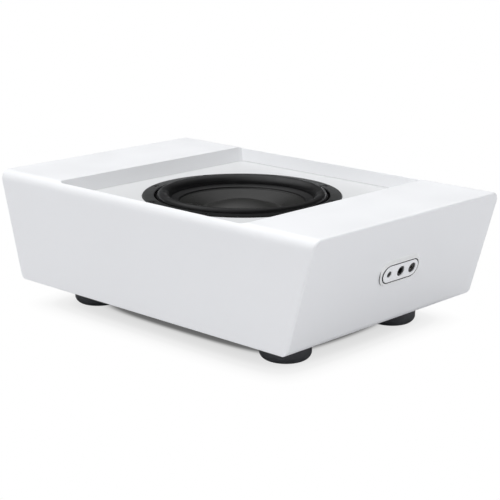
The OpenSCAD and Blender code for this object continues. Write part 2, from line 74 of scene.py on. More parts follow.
baffle_low, baffle_high = box_mm("top_baffle")
TOP_Z = baffle_high[2]                     # top face
BASE_Z = box_mm("front_panel")[0][2]       # underside of the cabinet
TOP_X = baffle_high[0]                     # half length at the top
HALF_DEPTH = baffle_high[1]
BAFFLE_Z = baffle_low[2]                   # underside of the top board
trim_high = box_mm("trim_ring")[1]
FLOOR_Z = trim_high[2] - 1.2               # recess floor
HEIGHT = TOP_Z - BASE_Z
WALL = 12.0
TOP_R, BOTTOM_R = 11.5, 1.5                # long edges
END_IN = 33.3                              # how far an end comes in from top to bottom
END_R = 10.0                               # radius where the ends turn under
LEAN = degrees(atan(END_IN / HEIGHT))
LEAN_SLOPE = END_IN / HEIGHT


def end_x(z):
    return TOP_X - LEAN_SLOPE * (TOP_Z - z)


# centre of the radius at the foot of an end, and the height where it starts
TURN_X = end_x(BASE_Z) - END_R * cosd(LEAN) / (1 + sind(LEAN))
TURN_Z = BASE_Z + END_R
TANGENT_Z = TURN_Z - END_R * sind(LEAN)

RECESS_L, RECESS_W = 273.5, 283.0          # at the top face
RECESS_IN_X, RECESS_IN_Y = 8.5, 7.0        # how far the recess walls come in
REBATE_R, REBATE_DEPTH, CUT_R = trim_high[0] + 0.5, 5.0, 96.0
CAVITY_Y = HALF_DEPTH - WALL
WALL_X = WALL / cosd(LEAN)                 # end wall measured level
CAVITY_X = end_x(BASE_Z) - WALL_X          # half length of the bottom opening
CAVITY_YS = (CAVITY_Y, CAVITY_Y * 0.5, 0.0, -CAVITY_Y * 0.5, -CAVITY_Y)

# frame on the right end: across (+Y), up along the slope, and out
MID_Z = TOP_Z - HEIGHT / 2
END_NORMAL = np.array([cosd(LEAN), 0.0, -sind(LEAN)])
END_ACROSS = np.array([0.0, 1.0, 0.0])
END_UP = np.array([sind(LEAN), 0.0, cosd(LEAN)])
END_ORIGIN = np.array([end_x(MID_Z), 0.0, MID_Z])
PLATE_L, PLATE_W = 54.8, 18.2
PLATE_R = PLATE_W / 2
SOCKET_PITCH = (PLATE_L - PLATE_W) / 2
SOCKET_HOLE_R = PLATE_R + 2.3

DRIVER_ANGLES = [22.5 + 45 * k for k in range(8)]
DRIVER_PLACES = [(101.8 * cosd(angle), 101.8 * sind(angle)) for angle in DRIVER_ANGLES]
MOTOR_PLACES = [(40 * cosd(45 + 90 * k), 40 * sind(45 + 90 * k)) for k in range(4)]
BOTTOM_PLACES = [(x, side * (CAVITY_Y - 7.5)) for x in (-160, -80, 0, 80, 160) for side in (-1, 1)]
FOOT_X, FOOT_Y = 140, 85
FOOT_PLACES = [(x, y) for x in (-FOOT_X, FOOT_X) for y in (-FOOT_Y, FOOT_Y)]
BOARD_Z = BASE_Z + WALL + 8.0              # underside of the amplifier board
BOARD_TOP = BOARD_Z + 1.6
WOOFER_SEGMENTS = 224


# ---------------------------------------------------------------- places to build in
# A frame is a pair of functions: one places a point, the other turns a normal.
def same(point):
    return point


def on_end(point):
    return END_ORIGIN + point[0] * END_ACROSS + point[1] * END_UP + point[2] * END_NORMAL


def turn_to_end(normal):
    return normal[0] * END_ACROSS + normal[1] * END_UP + normal[2] * END_NORMAL


HERE = (same, same)
ON_END = (on_end, turn_to_end)


def end_plan(point):
    """Across and up places of a point in the right end's frame."""
    offset = np.array(point) - END_ORIGIN
    return float(np.dot(offset, END_ACROSS)), float(np.dot(offset, END_UP))


def upright(x, y, z, angle=0.0):
    def place(p):
        return np.array([x + p[0] * cosd(angle) - p[1] * sind(angle),
                         y + p[0] * sind(angle) + p[1] * cosd(angle), z + p[2]])

    def turn(n):
        return np.array([n[0] * cosd(angle) - n[1] * sind(angle),
                         n[0] * sind(angle) + n[1] * cosd(angle), n[2]])
    return place, turn


def end_at(across, up, out=0.0):
    return lambda p: on_end((p[0] + across, p[1] + up, p[2] + out)), turn_to_end


def turned_over(base):
    place, turn = base
    return (lambda p: place((p[0], -p[1], -p[2]))), (lambda n: turn((n[0], -n[1], -n[2])))


# ---------------------------------------------------------------- paths: (x, y, normal x, normal y)
def circle(count, x=0.0, y=0.0):
    """The normals carry the circle, so an offset from this path is a radius."""
    return [(x, y, cosd(360.0 * i / count), sind(360.0 * i / count)) for i in range(count)]


def stadium(arc_steps, line_steps):
    """Middle line between the outer socket centres, with outward normals."""
    path = []
    for side in (1, -1):
        for i in range(arc_steps + 1):
            angle = -90 + 180.0 * i / arc_steps
            path.append((side * SOCKET_PITCH, 0.0, side * cosd(angle), side * sind(angle)))
        for i in range(1, line_steps):
            x = side * (SOCKET_PITCH - 2 * SOCKET_PITCH * i / line_steps)
            path.append((x, 0.0, 0.0, side * 1.0))
    return path


def round_rectangle(half_x, half_y, radius, arc_steps, line_steps):
    path = []
    in_x, in_y = half_x - radius, half_y - radius
    centres = [(in_x, in_y), (-half_x + radius, in_y), (-half_x + radius, -half_y + radius),
               (in_x, -half_y + radius)]
    for k, (x, y) in enumerate(centres):
        for i in range(arc_steps + 1):
            angle = 90 * k + 90.0 * i / arc_steps
            path.append((x + radius * cosd(angle), y + radius * sind(angle),
                         cosd(angle), sind(angle)))
        next_x, next_y = centres[(k + 1) % 4]
        angle = 90 * k + 90
        x0, y0 = x + radius * cosd(angle), y + radius * sind(angle)
        x1, y1 = next_x + radius * cosd(angle), next_y + radius * sind(angle)
        for i in range(1, line_steps):
            path.append((x0 + (x1 - x0) * i / line_steps, y0 + (y1 - y0) * i / line_steps,
                         cosd(angle), sind(angle)))
    return path


def outline(path, offset):
    return [(x + nx * offset, y + ny * offset) for x, y, nx, ny in path]


def ring(radius, count, x=0.0, y=0.0):
    return outline(circle(count, x, y), radius)


# ---------------------------------------------------------------- sections
def section(items, steps=5, closed=True):
    """Rows (out, height, normal out, normal height) along a profile.

    An item is a corner (out, height, rounding) or a list of (out, height) points of a smooth
    run. Steps are for a quarter turn. A run needs a closed profile.
    """
    runs = [item if isinstance(item, list) else [item[:2]] for item in items]
    points = np.array([point for run in runs for point in run], float)
    after = np.roll(points, -1, 0)
    area = (points[:, 0] * after[:, 1] - after[:, 0] * points[:, 1]).sum()
    side = -1.0 if closed and area <= 0 else 1.0
    rows = []

    def normal(start, end):
        step = np.array(end, float) - np.array(start, float)
        length = np.linalg.norm(step)
        if length < 1e-9:
            return np.zeros(2)
        return side * np.array([step[1], -step[0]]) / length

    def extend(nearest, farther):
        """Normal at the very end of a run, from its two last edges."""
        direction = 1.5 * nearest - 0.5 * farther
        return direction / np.linalg.norm(direction)

    def add(point, direction):
        rows.append((point[0], point[1], direction[0], direction[1]))

    for k, item in enumerate(items):
        before = runs[k - 1][-1] if closed or k > 0 else None
        after = runs[(k + 1) % len(items)][0] if closed or k < len(items) - 1 else None
        if isinstance(item, list):
            run = np.array(item, float)
            first = extend(normal(run[0], run[1]), normal(run[1], run[2]))
            last = extend(normal(run[-2], run[-1]), normal(run[-3], run[-2]))
            into, leaving = normal(before, run[0]), normal(run[-1], after)
            if np.dot(into, first) > 0.94:
                first = into
            elif into.any():
                add(run[0], into)
            add(run[0], first)
            for i in range(1, len(run) - 1):
                add(run[i], normal(run[i - 1], run[i + 1]))
            if np.dot(leaving, last) > 0.94:
                add(run[-1], leaving)
            else:
                add(run[-1], last)
                if leaving.any():
                    add(run[-1], leaving)
            continue
        point = np.array(item[:2], float)
        radius = item[2] if len(item) > 2 else 0.0
        if before is None or after is None:
            add(point, normal(point, after) if before is None else normal(before, point))
            continue
        into, leaving = normal(before, point), normal(point, after)
        cosine = float(np.clip(np.dot(into, leaving), -1, 1))
        if cosine > 0.9995:
            add(point, into)
            continue
        if radius <= 0:
            add(point, into)
            add(point, leaving)
            continue
        step_in, step_out = point - np.array(before, float), np.array(after, float) - point
        length_in, length_out = np.linalg.norm(step_in), np.linalg.norm(step_out)
        step_in /= length_in
        step_out /= length_out
        turn = acos(cosine)
        trim = radius * tan(turn / 2)
        limit = 0.98 * min(length_in, length_out)
        if trim > limit:
            trim = limit
            radius = trim / tan(turn / 2)
        if np.dot(into, step_out) >= 0:
            radius = -radius                       # hollow corner
        centre = point - step_in * trim - into * radius
        count = max(2, int(ceil(degrees(turn) / 90 * steps)))
        for i in range(count + 1):
            share = i / count
            direction = (sin((1 - share) * turn) / sin(turn) * into
                         + sin(share * turn) / sin(turn) * leaving)
            add(centre + direction * radius, direction)
    return rows


def flipped(rows):
    return [(out, height, -n_out, -n_height) for out, height, n_out, n_height in rows]


def from_floor(items):
    """Lifts a profile given from the recess floor."""
    return [[(out, FLOOR_Z + z) for out, z in item] if isinstance(item, list)
            else (item[0], FLOOR_Z + item[1], *item[2:]) for item in items]


def round_section(radius, count):
    return [(radius * nx, radius * ny, nx, ny) for _, _, nx, ny in circle(count)]


# ---------------------------------------------------------------- mesh building
class Skin:
    """Faces with exact corner normals; equal points are welded."""

    def __init__(self):
        self.points, self.index = [], {}
        self.faces, self.normals, self.slots = [], [], []

    def vertex(self, point):
        key = tuple(round(float(value), 4) for value in point)
        if key not in self.index:
            self.index[key] = len(self.points)
            self.points.append(key)
        return self.index[key]

    def face(self, corners, normals, slot=0):
        """Normals are a list with one for each corner, or a single one for all."""
        if not isinstance(normals, list):
            normals = [normals] * len(corners)
        loop, kept = [], []
        for corner, normal in zip(corners, normals):
            i = self.vertex(corner)
            if loop and loop[-1] == i:
                continue
            loop.append(i)
            kept.append(normal)
        if len(loop) > 1 and loop[0] == loop[-1]:
            loop.pop()
            kept.pop()
        if len(set(loop)) < 3:
            return
        here = np.array([self.points[i] for i in loop])
        after = np.roll(here, -1, 0)
        facing = ((here - after)[:, [1, 2, 0]] * (here + after)[:, [2, 0, 1]]).sum(0)
        if np.dot(facing, np.sum(kept, 0)) < 0:
            loop.reverse()
            kept.reverse()
        self.faces.append(loop)
        self.normals.extend(kept)
        self.slots.append(slot)

    def patch(self, pairs, slot=0):
        """One face from (point, normal) pairs."""
        self.face([point for point, _ in pairs], [normal for _, normal in pairs], slot)

    def band(self, first, second, slot=0, closed=False):
        """Quads between two lines of pairs; slot may be a list with one for each quad."""
        count = len(first)
        for k in range(count if closed else count - 1):
            after = (k + 1) % count
            self.patch([first[k], second[k], second[after], first[after]],
                       slot[k] if isinstance(slot, list) else slot)

    def loft(self, path, rows, base=HERE, slot=0, closed=True, shift=None):
        """Carries section rows round a closed path; shift may move (out, height)."""
        place, turn = base
        lines = []
        for x, y, nx, ny in path:
            line = []
            for out, height, n_out, n_height in rows:
                if shift:
                    out, height = shift(nx, ny, out, height)
                line.append((place((x + nx * out, y + ny * out, height)),
                             turn((nx * n_out, ny * n_out, n_height))))
            lines.append(line)
        for i, line in enumerate(lines):
            self.band(line, lines[(i + 1) % len(lines)], slot, closed)

    def fill(self, loops, height, up=1.0, base=HERE, slot=0):
        """Flat region between plan loops, the first one outside."""
        place, turn = base
        points, edges = [], []
        for loop in loops:
            start = len(points)
            points += [(float(p[0]), float(p[1])) for p in loop]
            edges += [(start + i, start + (i + 1) % len(loop)) for i in range(len(loop))]
        spots, _, triangles, origin, _, _ = delaunay_2d_cdt(
            [Vector(p) for p in points], edges, [], 1, 1e-6, True)
        lines = np.array([points[a] + points[b] for a, b in edges])
        normal = turn((0.0, 0.0, up))
        for triangle in triangles:
            # keep a triangle when a line from its centre crosses the loops an odd number of times
            centre = sum((spots[i] for i in triangle), Vector((0.0, 0.0))) / len(triangle)
            cut = lines[(lines[:, 1] > centre.y) != (lines[:, 3] > centre.y)]
            if len(cut) == 0:
                continue
            share = (centre.y - cut[:, 1]) / (cut[:, 3] - cut[:, 1])
            if (cut[:, 0] + share * (cut[:, 2] - cut[:, 0]) > centre.x).sum() % 2 == 0:
                continue
            corners = [points[origin[i][0]] if origin[i] else tuple(spots[i]) for i in triangle]
            self.face([place(corner + (height,)) for corner in corners], normal, slot)

    def bore(self, x, y, rows, count, base=HERE):
        """Lines a round hole; returns its loops at the first and the last row."""
        self.loft(circle(count, x, y), rows, base, closed=False)
        return ring(rows[0][0], count, x, y), ring(rows[-1][0], count, x, y)

    def sweep(self, points, side, rows, slot=0, swell=None):
        """Carries a closed section along points; side is kept as its first axis."""
        points = [np.array(point, float) for point in points]
        last = len(points) - 1
        lines, axes = [], []
        for i, point in enumerate(points):
            along = points[min(i + 1, last)] - points[max(i - 1, 0)]
            along /= np.linalg.norm(along)
            first = np.array(side, float)
            first = first - along * np.dot(first, along)
            first /= np.linalg.norm(first)
            second = np.cross(along, first)
            line = []
            for j, (u, v, nu, nv) in enumerate(rows):
                size = swell(i, j) if swell else 1.0
                line.append((point + first * u * size + second * v * size,
                             first * nu + second * nv))
            lines.append(line)
            axes.append(np.cross(first, second))
        for i in range(last):
            self.band(lines[i], lines[i + 1], slot, closed=True)
        for i, sign in ((0, -1), (last, 1)):
            self.face([point for point, _ in lines[i]], axes[i] * sign, slot)

    def make(self, name, materials, *replaced, slot, body="cabinet"):
        """Makes the object; body is what it rides on, or None to leave it unattached."""
        mesh = bpy.data.meshes.new(name)
        mesh.from_pydata([(x / 1000, y / 1000, z / 1000) for x, y, z in self.points], [],
                         self.faces)
        mesh.polygons.foreach_set("use_smooth", [True] * len(self.faces))
        mesh.polygons.foreach_set("material_index", self.slots)
        for entry in materials:
            mesh.materials.append(entry)
        normals = np.array(self.normals, float)
        length = np.linalg.norm(normals, axis=1)
        normals = normals / np.where(length < 1e-9, 1, length)[:, None]
        mesh.normals_split_custom_set([tuple(normal) for normal in normals])
        mesh.update()
        made = bpy.data.objects.new(name, mesh)
        scene.collection.objects.link(made)
        if body:
            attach(made, body)
        if replaced:
            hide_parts(*replaced)
        return made


# ---------------------------------------------------------------- shader nodes
class Nodes:
    """Adds nodes to a tree; a socket given as a value is linked, anything else is set."""

    def __init__(self, tree):
        self.tree = tree

    def put(self, node, sockets):
        for key, value in sockets.items():
            if isinstance(value, bpy.types.NodeSocket):
                self.tree.links.new(value, node.inputs[key])
            else:
                node.inputs[key].default_value = value

    def add(self, kind, sockets={}, **settings):
        node = self.tree.nodes.new("ShaderNode" + kind)
        for key, value in settings.items():
            setattr(node, key, value)
        self.put(node, sockets)
        return node

    def noise(self, vector, scale, detail):
        sockets = {"Vector": vector, "Scale": scale, "Detail": detail}
        return self.add("TexNoise", sockets).outputs["Fac"]

    def remap(self, value, low, high, to_low=0.0, to_high=1.0):
        return self.add("MapRange", {"Value": value, "From Min": low, "From Max": high,
                                     "To Min": to_low, "To Max": to_high}).outputs[0]

    def scale(self, vector, factor):
        return self.add("VectorMath", {0: vector, "Scale": factor}, operation="SCALE").outputs[0]

    def dot(self, vector, direction):
        return self.add("VectorMath", {0: vector, 1: direction},
                        operation="DOT_PRODUCT").outputs["Value"]

    def math(self, operation, *values, **settings):
        return self.add("Math", dict(enumerate(values)), operation=operation,
                        **settings).outputs[0]

    def mix(self, factor, first, second):
        return self.add("Mix", {"Factor": factor, "A": first, "B": second},
                        data_type="RGBA").outputs["Result"]

    def mix_shaders(self, factor, first, second):
        return self.add("MixShader", {0: factor, 1: first, 2: second}).outputs[0]

    def across(self, whole, x, y, start, end, left):
        """Falls from whole to the share left of it along a level direction, in metres."""
        position = self.add("NewGeometry").outputs["Position"]
        return self.remap(self.dot(position, (x, y, 0.0)), start, end, whole, whole * left)


# ---------------------------------------------------------------- materials
def srgb(*levels):
    """Linear colour from levels out of 255."""
    shares = [level / 255.0 for level in levels]
    return tuple(share / 12.92 if share <= 0.04045 else ((share + 0.055) / 1.055) ** 2.4
                 for share in shares)


def material(name, colour, rough=0.5, metal=0.0, vary=0.06, vary_scale=18.0, rough_vary=0.08,
             bump=0.0, bump_scale=900.0, bump_kind="noise", coat=0.0, coat_rough=0.1, sheen=0.0,
             spec=0.5, stretch=(1, 1, 1), edge=0.0, dust=0.0, fine=0.0, fine_scale=3000.0,
             mirror_painted_shade=None, shade=None):
    """Soft colour drift, fine grain, roughness drift, bump, edge wear and settled dust.

    Two settings paint shade along a level direction: one weakens the mirroring, the other darkens
    the colour.
    """
    made = bpy.data.materials.new(name)
    made.use_nodes = True
    nodes = Nodes(made.node_tree)
    shader = made.node_tree.nodes["Principled BSDF"]
    own_place = nodes.add("TexCoord").outputs["Object"]
    place = nodes.add("Mapping", {"Vector": own_place, "Scale": stretch}).outputs[0]
    drift = nodes.noise(place, vary_scale, detail=5)
    tint = nodes.scale(colour, nodes.remap(drift, 0.3, 0.7, 1.0 - vary, 1.0 + vary))
    if fine > 0:
        grain = nodes.noise(place, fine_scale, detail=3)
        tint = nodes.scale(tint, nodes.remap(grain, 0.35, 0.65, 1.0 - fine, 1.0 + fine))
    if edge > 0 or dust > 0:
        surface = nodes.add("NewGeometry")
    if edge > 0:
        worn = nodes.remap(surface.outputs["Pointiness"], 0.52, 0.6, 0.0, edge)
        tint = nodes.mix(worn, tint, tuple(min(1.0, c * 1.6 + 0.05) for c in colour) + (1,))
    if dust > 0:
        facing = nodes.add("SeparateXYZ", {0: surface.outputs["Normal"]})
        specks = nodes.remap(nodes.noise(own_place, 260.0, detail=8), 0.4, 0.8, to_high=dust)
        settled = nodes.math("MULTIPLY", specks, facing.outputs["Z"], use_clamp=True)
        tint = nodes.mix(settled, tint, (0.5, 0.49, 0.47, 1))
    # painted shade: the colour darkens along a level direction
    if shade:
        tint = nodes.scale(tint, nodes.across(1.0, **shade))
    wear = nodes.noise(place, vary_scale * 3.3, detail=4)
    nodes.put(shader, {
        "Base Color": tint,
        "Roughness": nodes.remap(wear, 0.3, 0.7, max(0.02, rough - rough_vary),
                                 min(1.0, rough + rough_vary)),
        "Metallic": metal, "Specular IOR Level": spec, "Coat Weight": coat,
        "Coat Roughness": coat_rough, "Sheen Weight": sheen})
    # painted shade on the mirroring: it weakens along a level direction
    if mirror_painted_shade:
        nodes.put(shader, {"Specular IOR Level": nodes.across(spec, **mirror_painted_shade)})
    if bump > 0:
        texture = {"Vector": place, "Scale": bump_scale}
        if bump_kind == "voronoi":
            height = nodes.add("TexVoronoi", texture, feature="SMOOTH_F1").outputs["Distance"]
        elif bump_kind == "weave":
            height = nodes.math("MULTIPLY", *[
                nodes.add("TexWave", texture, bands_direction=axis).outputs["Fac"]
                for axis in "XY"])
        else:
            height = nodes.noise(place, bump_scale, detail=4)
        relief = nodes.add("Bump", {"Strength": 1.0, "Distance": bump, "Height": height})
        nodes.put(shader, {"Normal": relief.outputs[0]})
    return made


def lacquer(name, colour, rough, coat=0.08, coat_rough=0.3, spec=0.35):
    return material(name, colour, rough=rough, vary=0.006, vary_scale=6, rough_vary=0.05,
                    bump=0.000012, bump_scale=650, coat=coat, coat_rough=coat_rough, spec=spec,
                    fine=0.004, fine_scale=900)


# painted shade on the woofer's trim and roll deepens towards the right front of the woofer
PAINTED_SHADE_SIDE = dict(x=0.68, y=-0.73, start=0.03, end=0.09)

LACQUER = lacquer("lacquer_white", srgb(246, 247, 249), rough=0.42)
# painted shade: the recess floor and the recess's left wall get darker copies of the white lacquer,
# standing in for the shade inside the recess
LACQUER_FLOOR_PAINTED_SHADE = lacquer("lacquer_recess", srgb(217, 218, 219), rough=0.5, coat=0.05,
                      coat_rough=0.35)
LACQUER_WALL_PAINTED_SHADE = lacquer("lacquer_left_wall_painted_shade", srgb(229, 230, 232), rough=0.45, coat=0.05)
LACQUER_PAD = lacquer("lacquer_pad", srgb(254, 255, 255), rough=0.42, spec=0.4)
RAW_BOARD = material("mdf_raw", srgb(196, 166, 128), rough=0.85, vary=0.08, vary_scale=30,
                     fine=0.12, fine_scale=2200, bump=0.00008, bump_scale=1500)
BLACK_BOARD = material("board_black", srgb(42, 42, 44), rough=0.75, vary=0.12, vary_scale=25,
                       fine=0.18, fine_scale=1800, bump=0.00005, bump_scale=1200, edge=0.25)
# painted shade: the trim's mirroring weakens towards the right, and its colour darkens towards the
# right front
TRIM = material("trim_moulded", srgb(47, 48, 48), rough=0.36, vary=0.04, vary_scale=35,
                bump=0.000006, bump_scale=1400, spec=0.3, rough_vary=0.03, fine=0.03, dust=0.004,
                mirror_painted_shade=dict(x=0.95, y=-0.3, start=-0.02, end=0.1, left=0.3),
                shade=dict(PAINTED_SHADE_SIDE, left=0.32))
# near black standing in for the shade at the bottom of the surround's rim groove: painted shade
GAP_PAINTED_SHADE = material("gap_painted_shade_black", srgb(7, 7, 8), rough=0.95, vary=0.2, vary_scale=60, spec=0.05,
               fine=0.2, bump=0.00003, bump_scale=1500)
# painted shade: the roll's mirroring weakens and its colour darkens towards the right front
RUBBER = material("surround_rubber", srgb(18, 18, 19), rough=0.36, vary=0.05, vary_scale=28,
                  bump=0.000014, bump_scale=1800, spec=0.55, fine=0.06, dust=0.008,
                  mirror_painted_shade=dict(PAINTED_SHADE_SIDE, left=0.6), shade=dict(PAINTED_SHADE_SIDE, left=0.8))
CONE = material("cone_black", srgb(29, 29, 28), rough=0.3, rough_vary=0.03, vary=0.04,
                vary_scale=22, bump=0.00002, bump_scale=1500, spec=0.52, fine=0.06, dust=0.01)
CAP = material("cap_black", srgb(40, 40, 39), rough=0.34, rough_vary=0.04, vary=0.04,
               vary_scale=30, bump=0.000015, bump_scale=1600, spec=0.55, fine=0.06, dust=0.01)
FOOT = material("foot_rubber", srgb(76, 78, 82), rough=0.42, vary_scale=40, bump=0.00002,
                bump_scale=1700, fine=0.08, dust=0.02, edge=0.1)
PLATE = material("plate_white", srgb(252, 253, 255), rough=0.36, vary=0.006, vary_scale=30,
                 bump=0.00001, bump_scale=2400, bump_kind="voronoi", spec=0.45)
JACK = material("jack_black", srgb(11, 11, 12), rough=0.34, vary=0.08, vary_scale=90,
                bump=0.00001, bump_scale=3000, spec=0.35, fine=0.06, edge=0.2)
BUTTON = material("button_black", srgb(9, 9, 10), rough=0.38, vary=0.08, vary_scale=120,
                  bump=0.00001, bump_scale=3200, spec=0.45, edge=0.2)
CONTACT = material("contact_nickel", srgb(96, 95, 92), rough=0.34, metal=0.9, vary=0.1,
                   vary_scale=160, rough_vary=0.12)
BLACK_SCREW = material("screw_black", srgb(30, 30, 30), rough=0.38, metal=0.5, vary=0.1,
                       vary_scale=200, edge=0.3, bump=0.00001, bump_scale=2500)
ZINC = material("screw_zinc", srgb(196, 196, 198), rough=0.3, metal=1.0, vary=0.1,
                vary_scale=150, rough_vary=0.14, fine=0.06, stretch=(1, 1, 3))
BASKET = material("basket_coat", srgb(34, 34, 36), metal=0.1, vary=0.08, vary_scale=40,
                  bump=0.00004, bump_scale=1400, edge=0.15, fine=0.08)
FOAM = material("foam_black", srgb(30, 30, 32), rough=0.95, vary=0.15, vary_scale=120,
                bump=0.0003, bump_scale=1300, bump_kind="voronoi", fine=0.2)
PINE = material("pine_sawn", srgb(214, 178, 126), rough=0.7, vary=0.18, vary_scale=16,
                stretch=(0.12, 1, 1), fine=0.12, fine_scale=900, bump=0.00006, bump_scale=700)
SPIDER = material("spider_cloth", srgb(206, 168, 92), rough=0.85, vary=0.1, vary_scale=40,
                  bump=0.0002, bump_scale=420, bump_kind="weave", sheen=0.2, fine=0.1)
STEEL = material("motor_steel", srgb(176, 177, 180), rough=0.36, metal=1.0, vary=0.1,
                 vary_scale=60, rough_vary=0.12, fine=0.05)
FERRITE = material("ferrite", srgb(74, 74, 78), rough=0.6, vary=0.12, vary_scale=70,
                   bump=0.00006, bump_scale=1500, fine=0.12, edge=0.3)
COPPER = material("copper_wire", srgb(196, 112, 62), rough=0.3, metal=1.0, vary=0.12,
                  vary_scale=120, fine=0.1)
ALUMINIUM = material("alu", srgb(214, 215, 218), rough=0.34, metal=1.0, vary=0.05,
                     vary_scale=80, stretch=(1, 6, 1), fine=0.06)
FIBRE = material("fibre_strip", srgb(140, 88, 48), rough=0.6, vary=0.16, vary_scale=60,
                 stretch=(1, 4, 1), fine=0.14, bump=0.00004, bump_scale=1500)
BRASS = material("brass", srgb(206, 172, 92), rough=0.3, metal=1.0, vary=0.1, vary_scale=120,
                 fine=0.06)
BOARD_GREEN = material("pcb_green", srgb(18, 92, 48), rough=0.35, vary=0.1, vary_scale=50,
                       coat=0.3, fine=0.08, fine_scale=1500, bump=0.00002, bump_scale=900)
CHIP = material("chip_epoxy", srgb(28, 28, 30), rough=0.55, vary=0.08, vary_scale=90,
                bump=0.00002, bump_scale=3000, fine=0.1)
SLEEVE = material("cap_sleeve", srgb(34, 40, 92), rough=0.32, vary_scale=60, coat=0.2,
                  fine=0.05)
RED_WIRE = material("wire_red", srgb(150, 26, 22), rough=0.42, vary_scale=70, fine=0.05)
BLACK_WIRE = material("wire_black", srgb(30, 30, 32), rough=0.42, vary_scale=70, fine=0.05)
RIBBON = material("ribbon_grey", srgb(176, 177, 180), vary=0.05, vary_scale=60, bump=0.0001,
                  bump_scale=300, stretch=(0.1, 1, 0.1), fine=0.06)
WADDING = material("wadding_white", srgb(236, 236, 230), rough=0.98, vary_scale=30,
                   bump=0.0009, bump_scale=500, sheen=0.5, fine=0.1, fine_scale=700)
INDUCTOR = material("inductor_core", srgb(96, 54, 34), vary=0.12, vary_scale=90, fine=0.1)
HEADER = material("header_white", srgb(232, 230, 222), vary=0.04, vary_scale=80, fine=0.04)

# ---------------------------------------------------------------- cabinet shell
# One lacquered skin over the glued boards.
END_EDGE_R, LOW_EDGE_R = 2.0, 0.9          # where the skin turns onto an end, and at its bottom
RIM_R = 1.1                                # rounding of the recess rim
BLEND_R = 2.2                              # between recess wall and floor
RIM_CORNER_R, FLOOR_CORNER_R = 7.0, 5.5    # recess corners in plan
RIM_STEPS, END_STEPS = 6, 5
CUT_SEGMENTS = 192
TOP_FLAT_Y = HALF_DEPTH - TOP_R
UPWARD = np.array([0.0, 0.0, 1.0])
MIRROR = np.array([-1.0, 1.0, 1.0])


def end_outline(z):
    """Place along X and outward normal of the right end at a height."""
    if z >= TANGENT_Z - 1e-9:
        return end_x(z), END_NORMAL
    down = min(1.0, (TURN_Z - z) / END_R)
    out = sqrt(max(0.0, 1 - down * down))
    return TURN_X + END_R * out, np.array([out, 0.0, -down])


def top_z(y):
    over = abs(y) - TOP_FLAT_Y
    if over <= 0:
        return TOP_Z
    return TOP_Z - TOP_R + sqrt(max(TOP_R ** 2 - over * over, 0.0))


def top_normal(y):
    over = abs(y) - TOP_FLAT_Y
    if over <= 0:
        return UPWARD
    return np.array([0.0, copysign(over / TOP_R, y), sqrt(max(1 - (over / TOP_R) ** 2, 0.0))])


def arc(start, end, steps):
    """Unit normals turning evenly from one to the other."""
    turn = acos(float(np.clip(np.dot(start, end), -1, 1)))
    if turn < 1e-6:
        return [start] * (steps + 1)
    return [(sin((1 - k / steps) * turn) * start + sin(k / steps * turn) * end) / sin(turn)
            for k in range(steps + 1)]


def recess_line(rim_point, floor_point):
    """Pairs from the top skin over the rim and down the wall to the recess floor."""
    rim_x, rim_y, out_x, out_y = rim_point
    top = np.array([rim_x, rim_y, TOP_Z])
    foot = np.array([floor_point[0], floor_point[1], FLOOR_Z])
    above, below = 0.0, 1.0                # search for where the wall meets the curved top
    for _ in range(40):
        middle = (above + below) / 2
        point = top + (foot - top) * middle
        if point[2] > top_z(point[1]):
            above = middle
        else:
            below = middle
    meet = top + (foot - top) * below
    skin = top_normal(meet[1])
    inset = (rim_x - floor_point[0]) * out_x + (rim_y - floor_point[1]) * out_y
    depth = TOP_Z - FLOOR_Z
    wall = np.array([-out_x * depth, -out_y * depth, inset])
    wall /= np.linalg.norm(wall)
    centre = meet - RIM_R * (skin + wall) / (1 + float(np.dot(skin, wall)))
    line = [(centre + RIM_R * normal, normal) for normal in arc(skin, wall, RIM_STEPS)]
    x, y, _ = line[0][0]
    line[0] = (np.array([x, y, top_z(y)]), top_normal(y))
    centre = foot + BLEND_R * (wall + UPWARD) / (1 + float(np.dot(wall, UPWARD)))
    start, end = line[-1][0], centre - BLEND_R * wall
    line += [(start + (end - start) * share, wall) for share in (0.25, 0.5, 0.75)]
    return line + [(centre - BLEND_R * normal, normal) for normal in arc(wall, UPWARD, 6)]


def recess(mesh):
    """Recess walls, floor and woofer rebate; returns the rim as (x, y) points."""
    rim = round_rectangle(RECESS_L / 2, RECESS_W / 2, RIM_CORNER_R, 14, 18)
    low = round_rectangle(RECESS_L / 2 - RECESS_IN_X, RECESS_W / 2 - RECESS_IN_Y,
                          FLOOR_CORNER_R, 14, 18)
    lines = [recess_line(*pair) for pair in zip(rim, low)]
    for i, line in enumerate(lines):
        j = (i + 1) % len(lines)
        # slot 2 is the recess floor's darker lacquer and slot 3 the left wall's, both painted shade
        left = rim[i][2] < -0.5 and rim[j][2] < -0.5
        slots = [2 if k >= RIM_STEPS + 4 else 3 if k >= RIM_STEPS and left else 0
                 for k in range(len(line) - 1)]
        mesh.band(line, lines[j], slots)
    ledge = FLOOR_Z - REBATE_DEPTH
    rebate = flipped(section([(CUT_R, BAFFLE_Z), (CUT_R, ledge), (REBATE_R, ledge),
                              (REBATE_R, FLOOR_Z, 0.45), (REBATE_R + 3, FLOOR_Z)],
                             closed=False))[:-1]
    mesh.loft(circle(CUT_SEGMENTS), rebate, slot=2, closed=False)
    mesh.fill([[tuple(line[-1][0][:2]) for line in lines], ring(rebate[-1][0], CUT_SEGMENTS)],
              FLOOR_Z, slot=2)
    return [tuple(line[0][0][:2]) for line in lines]


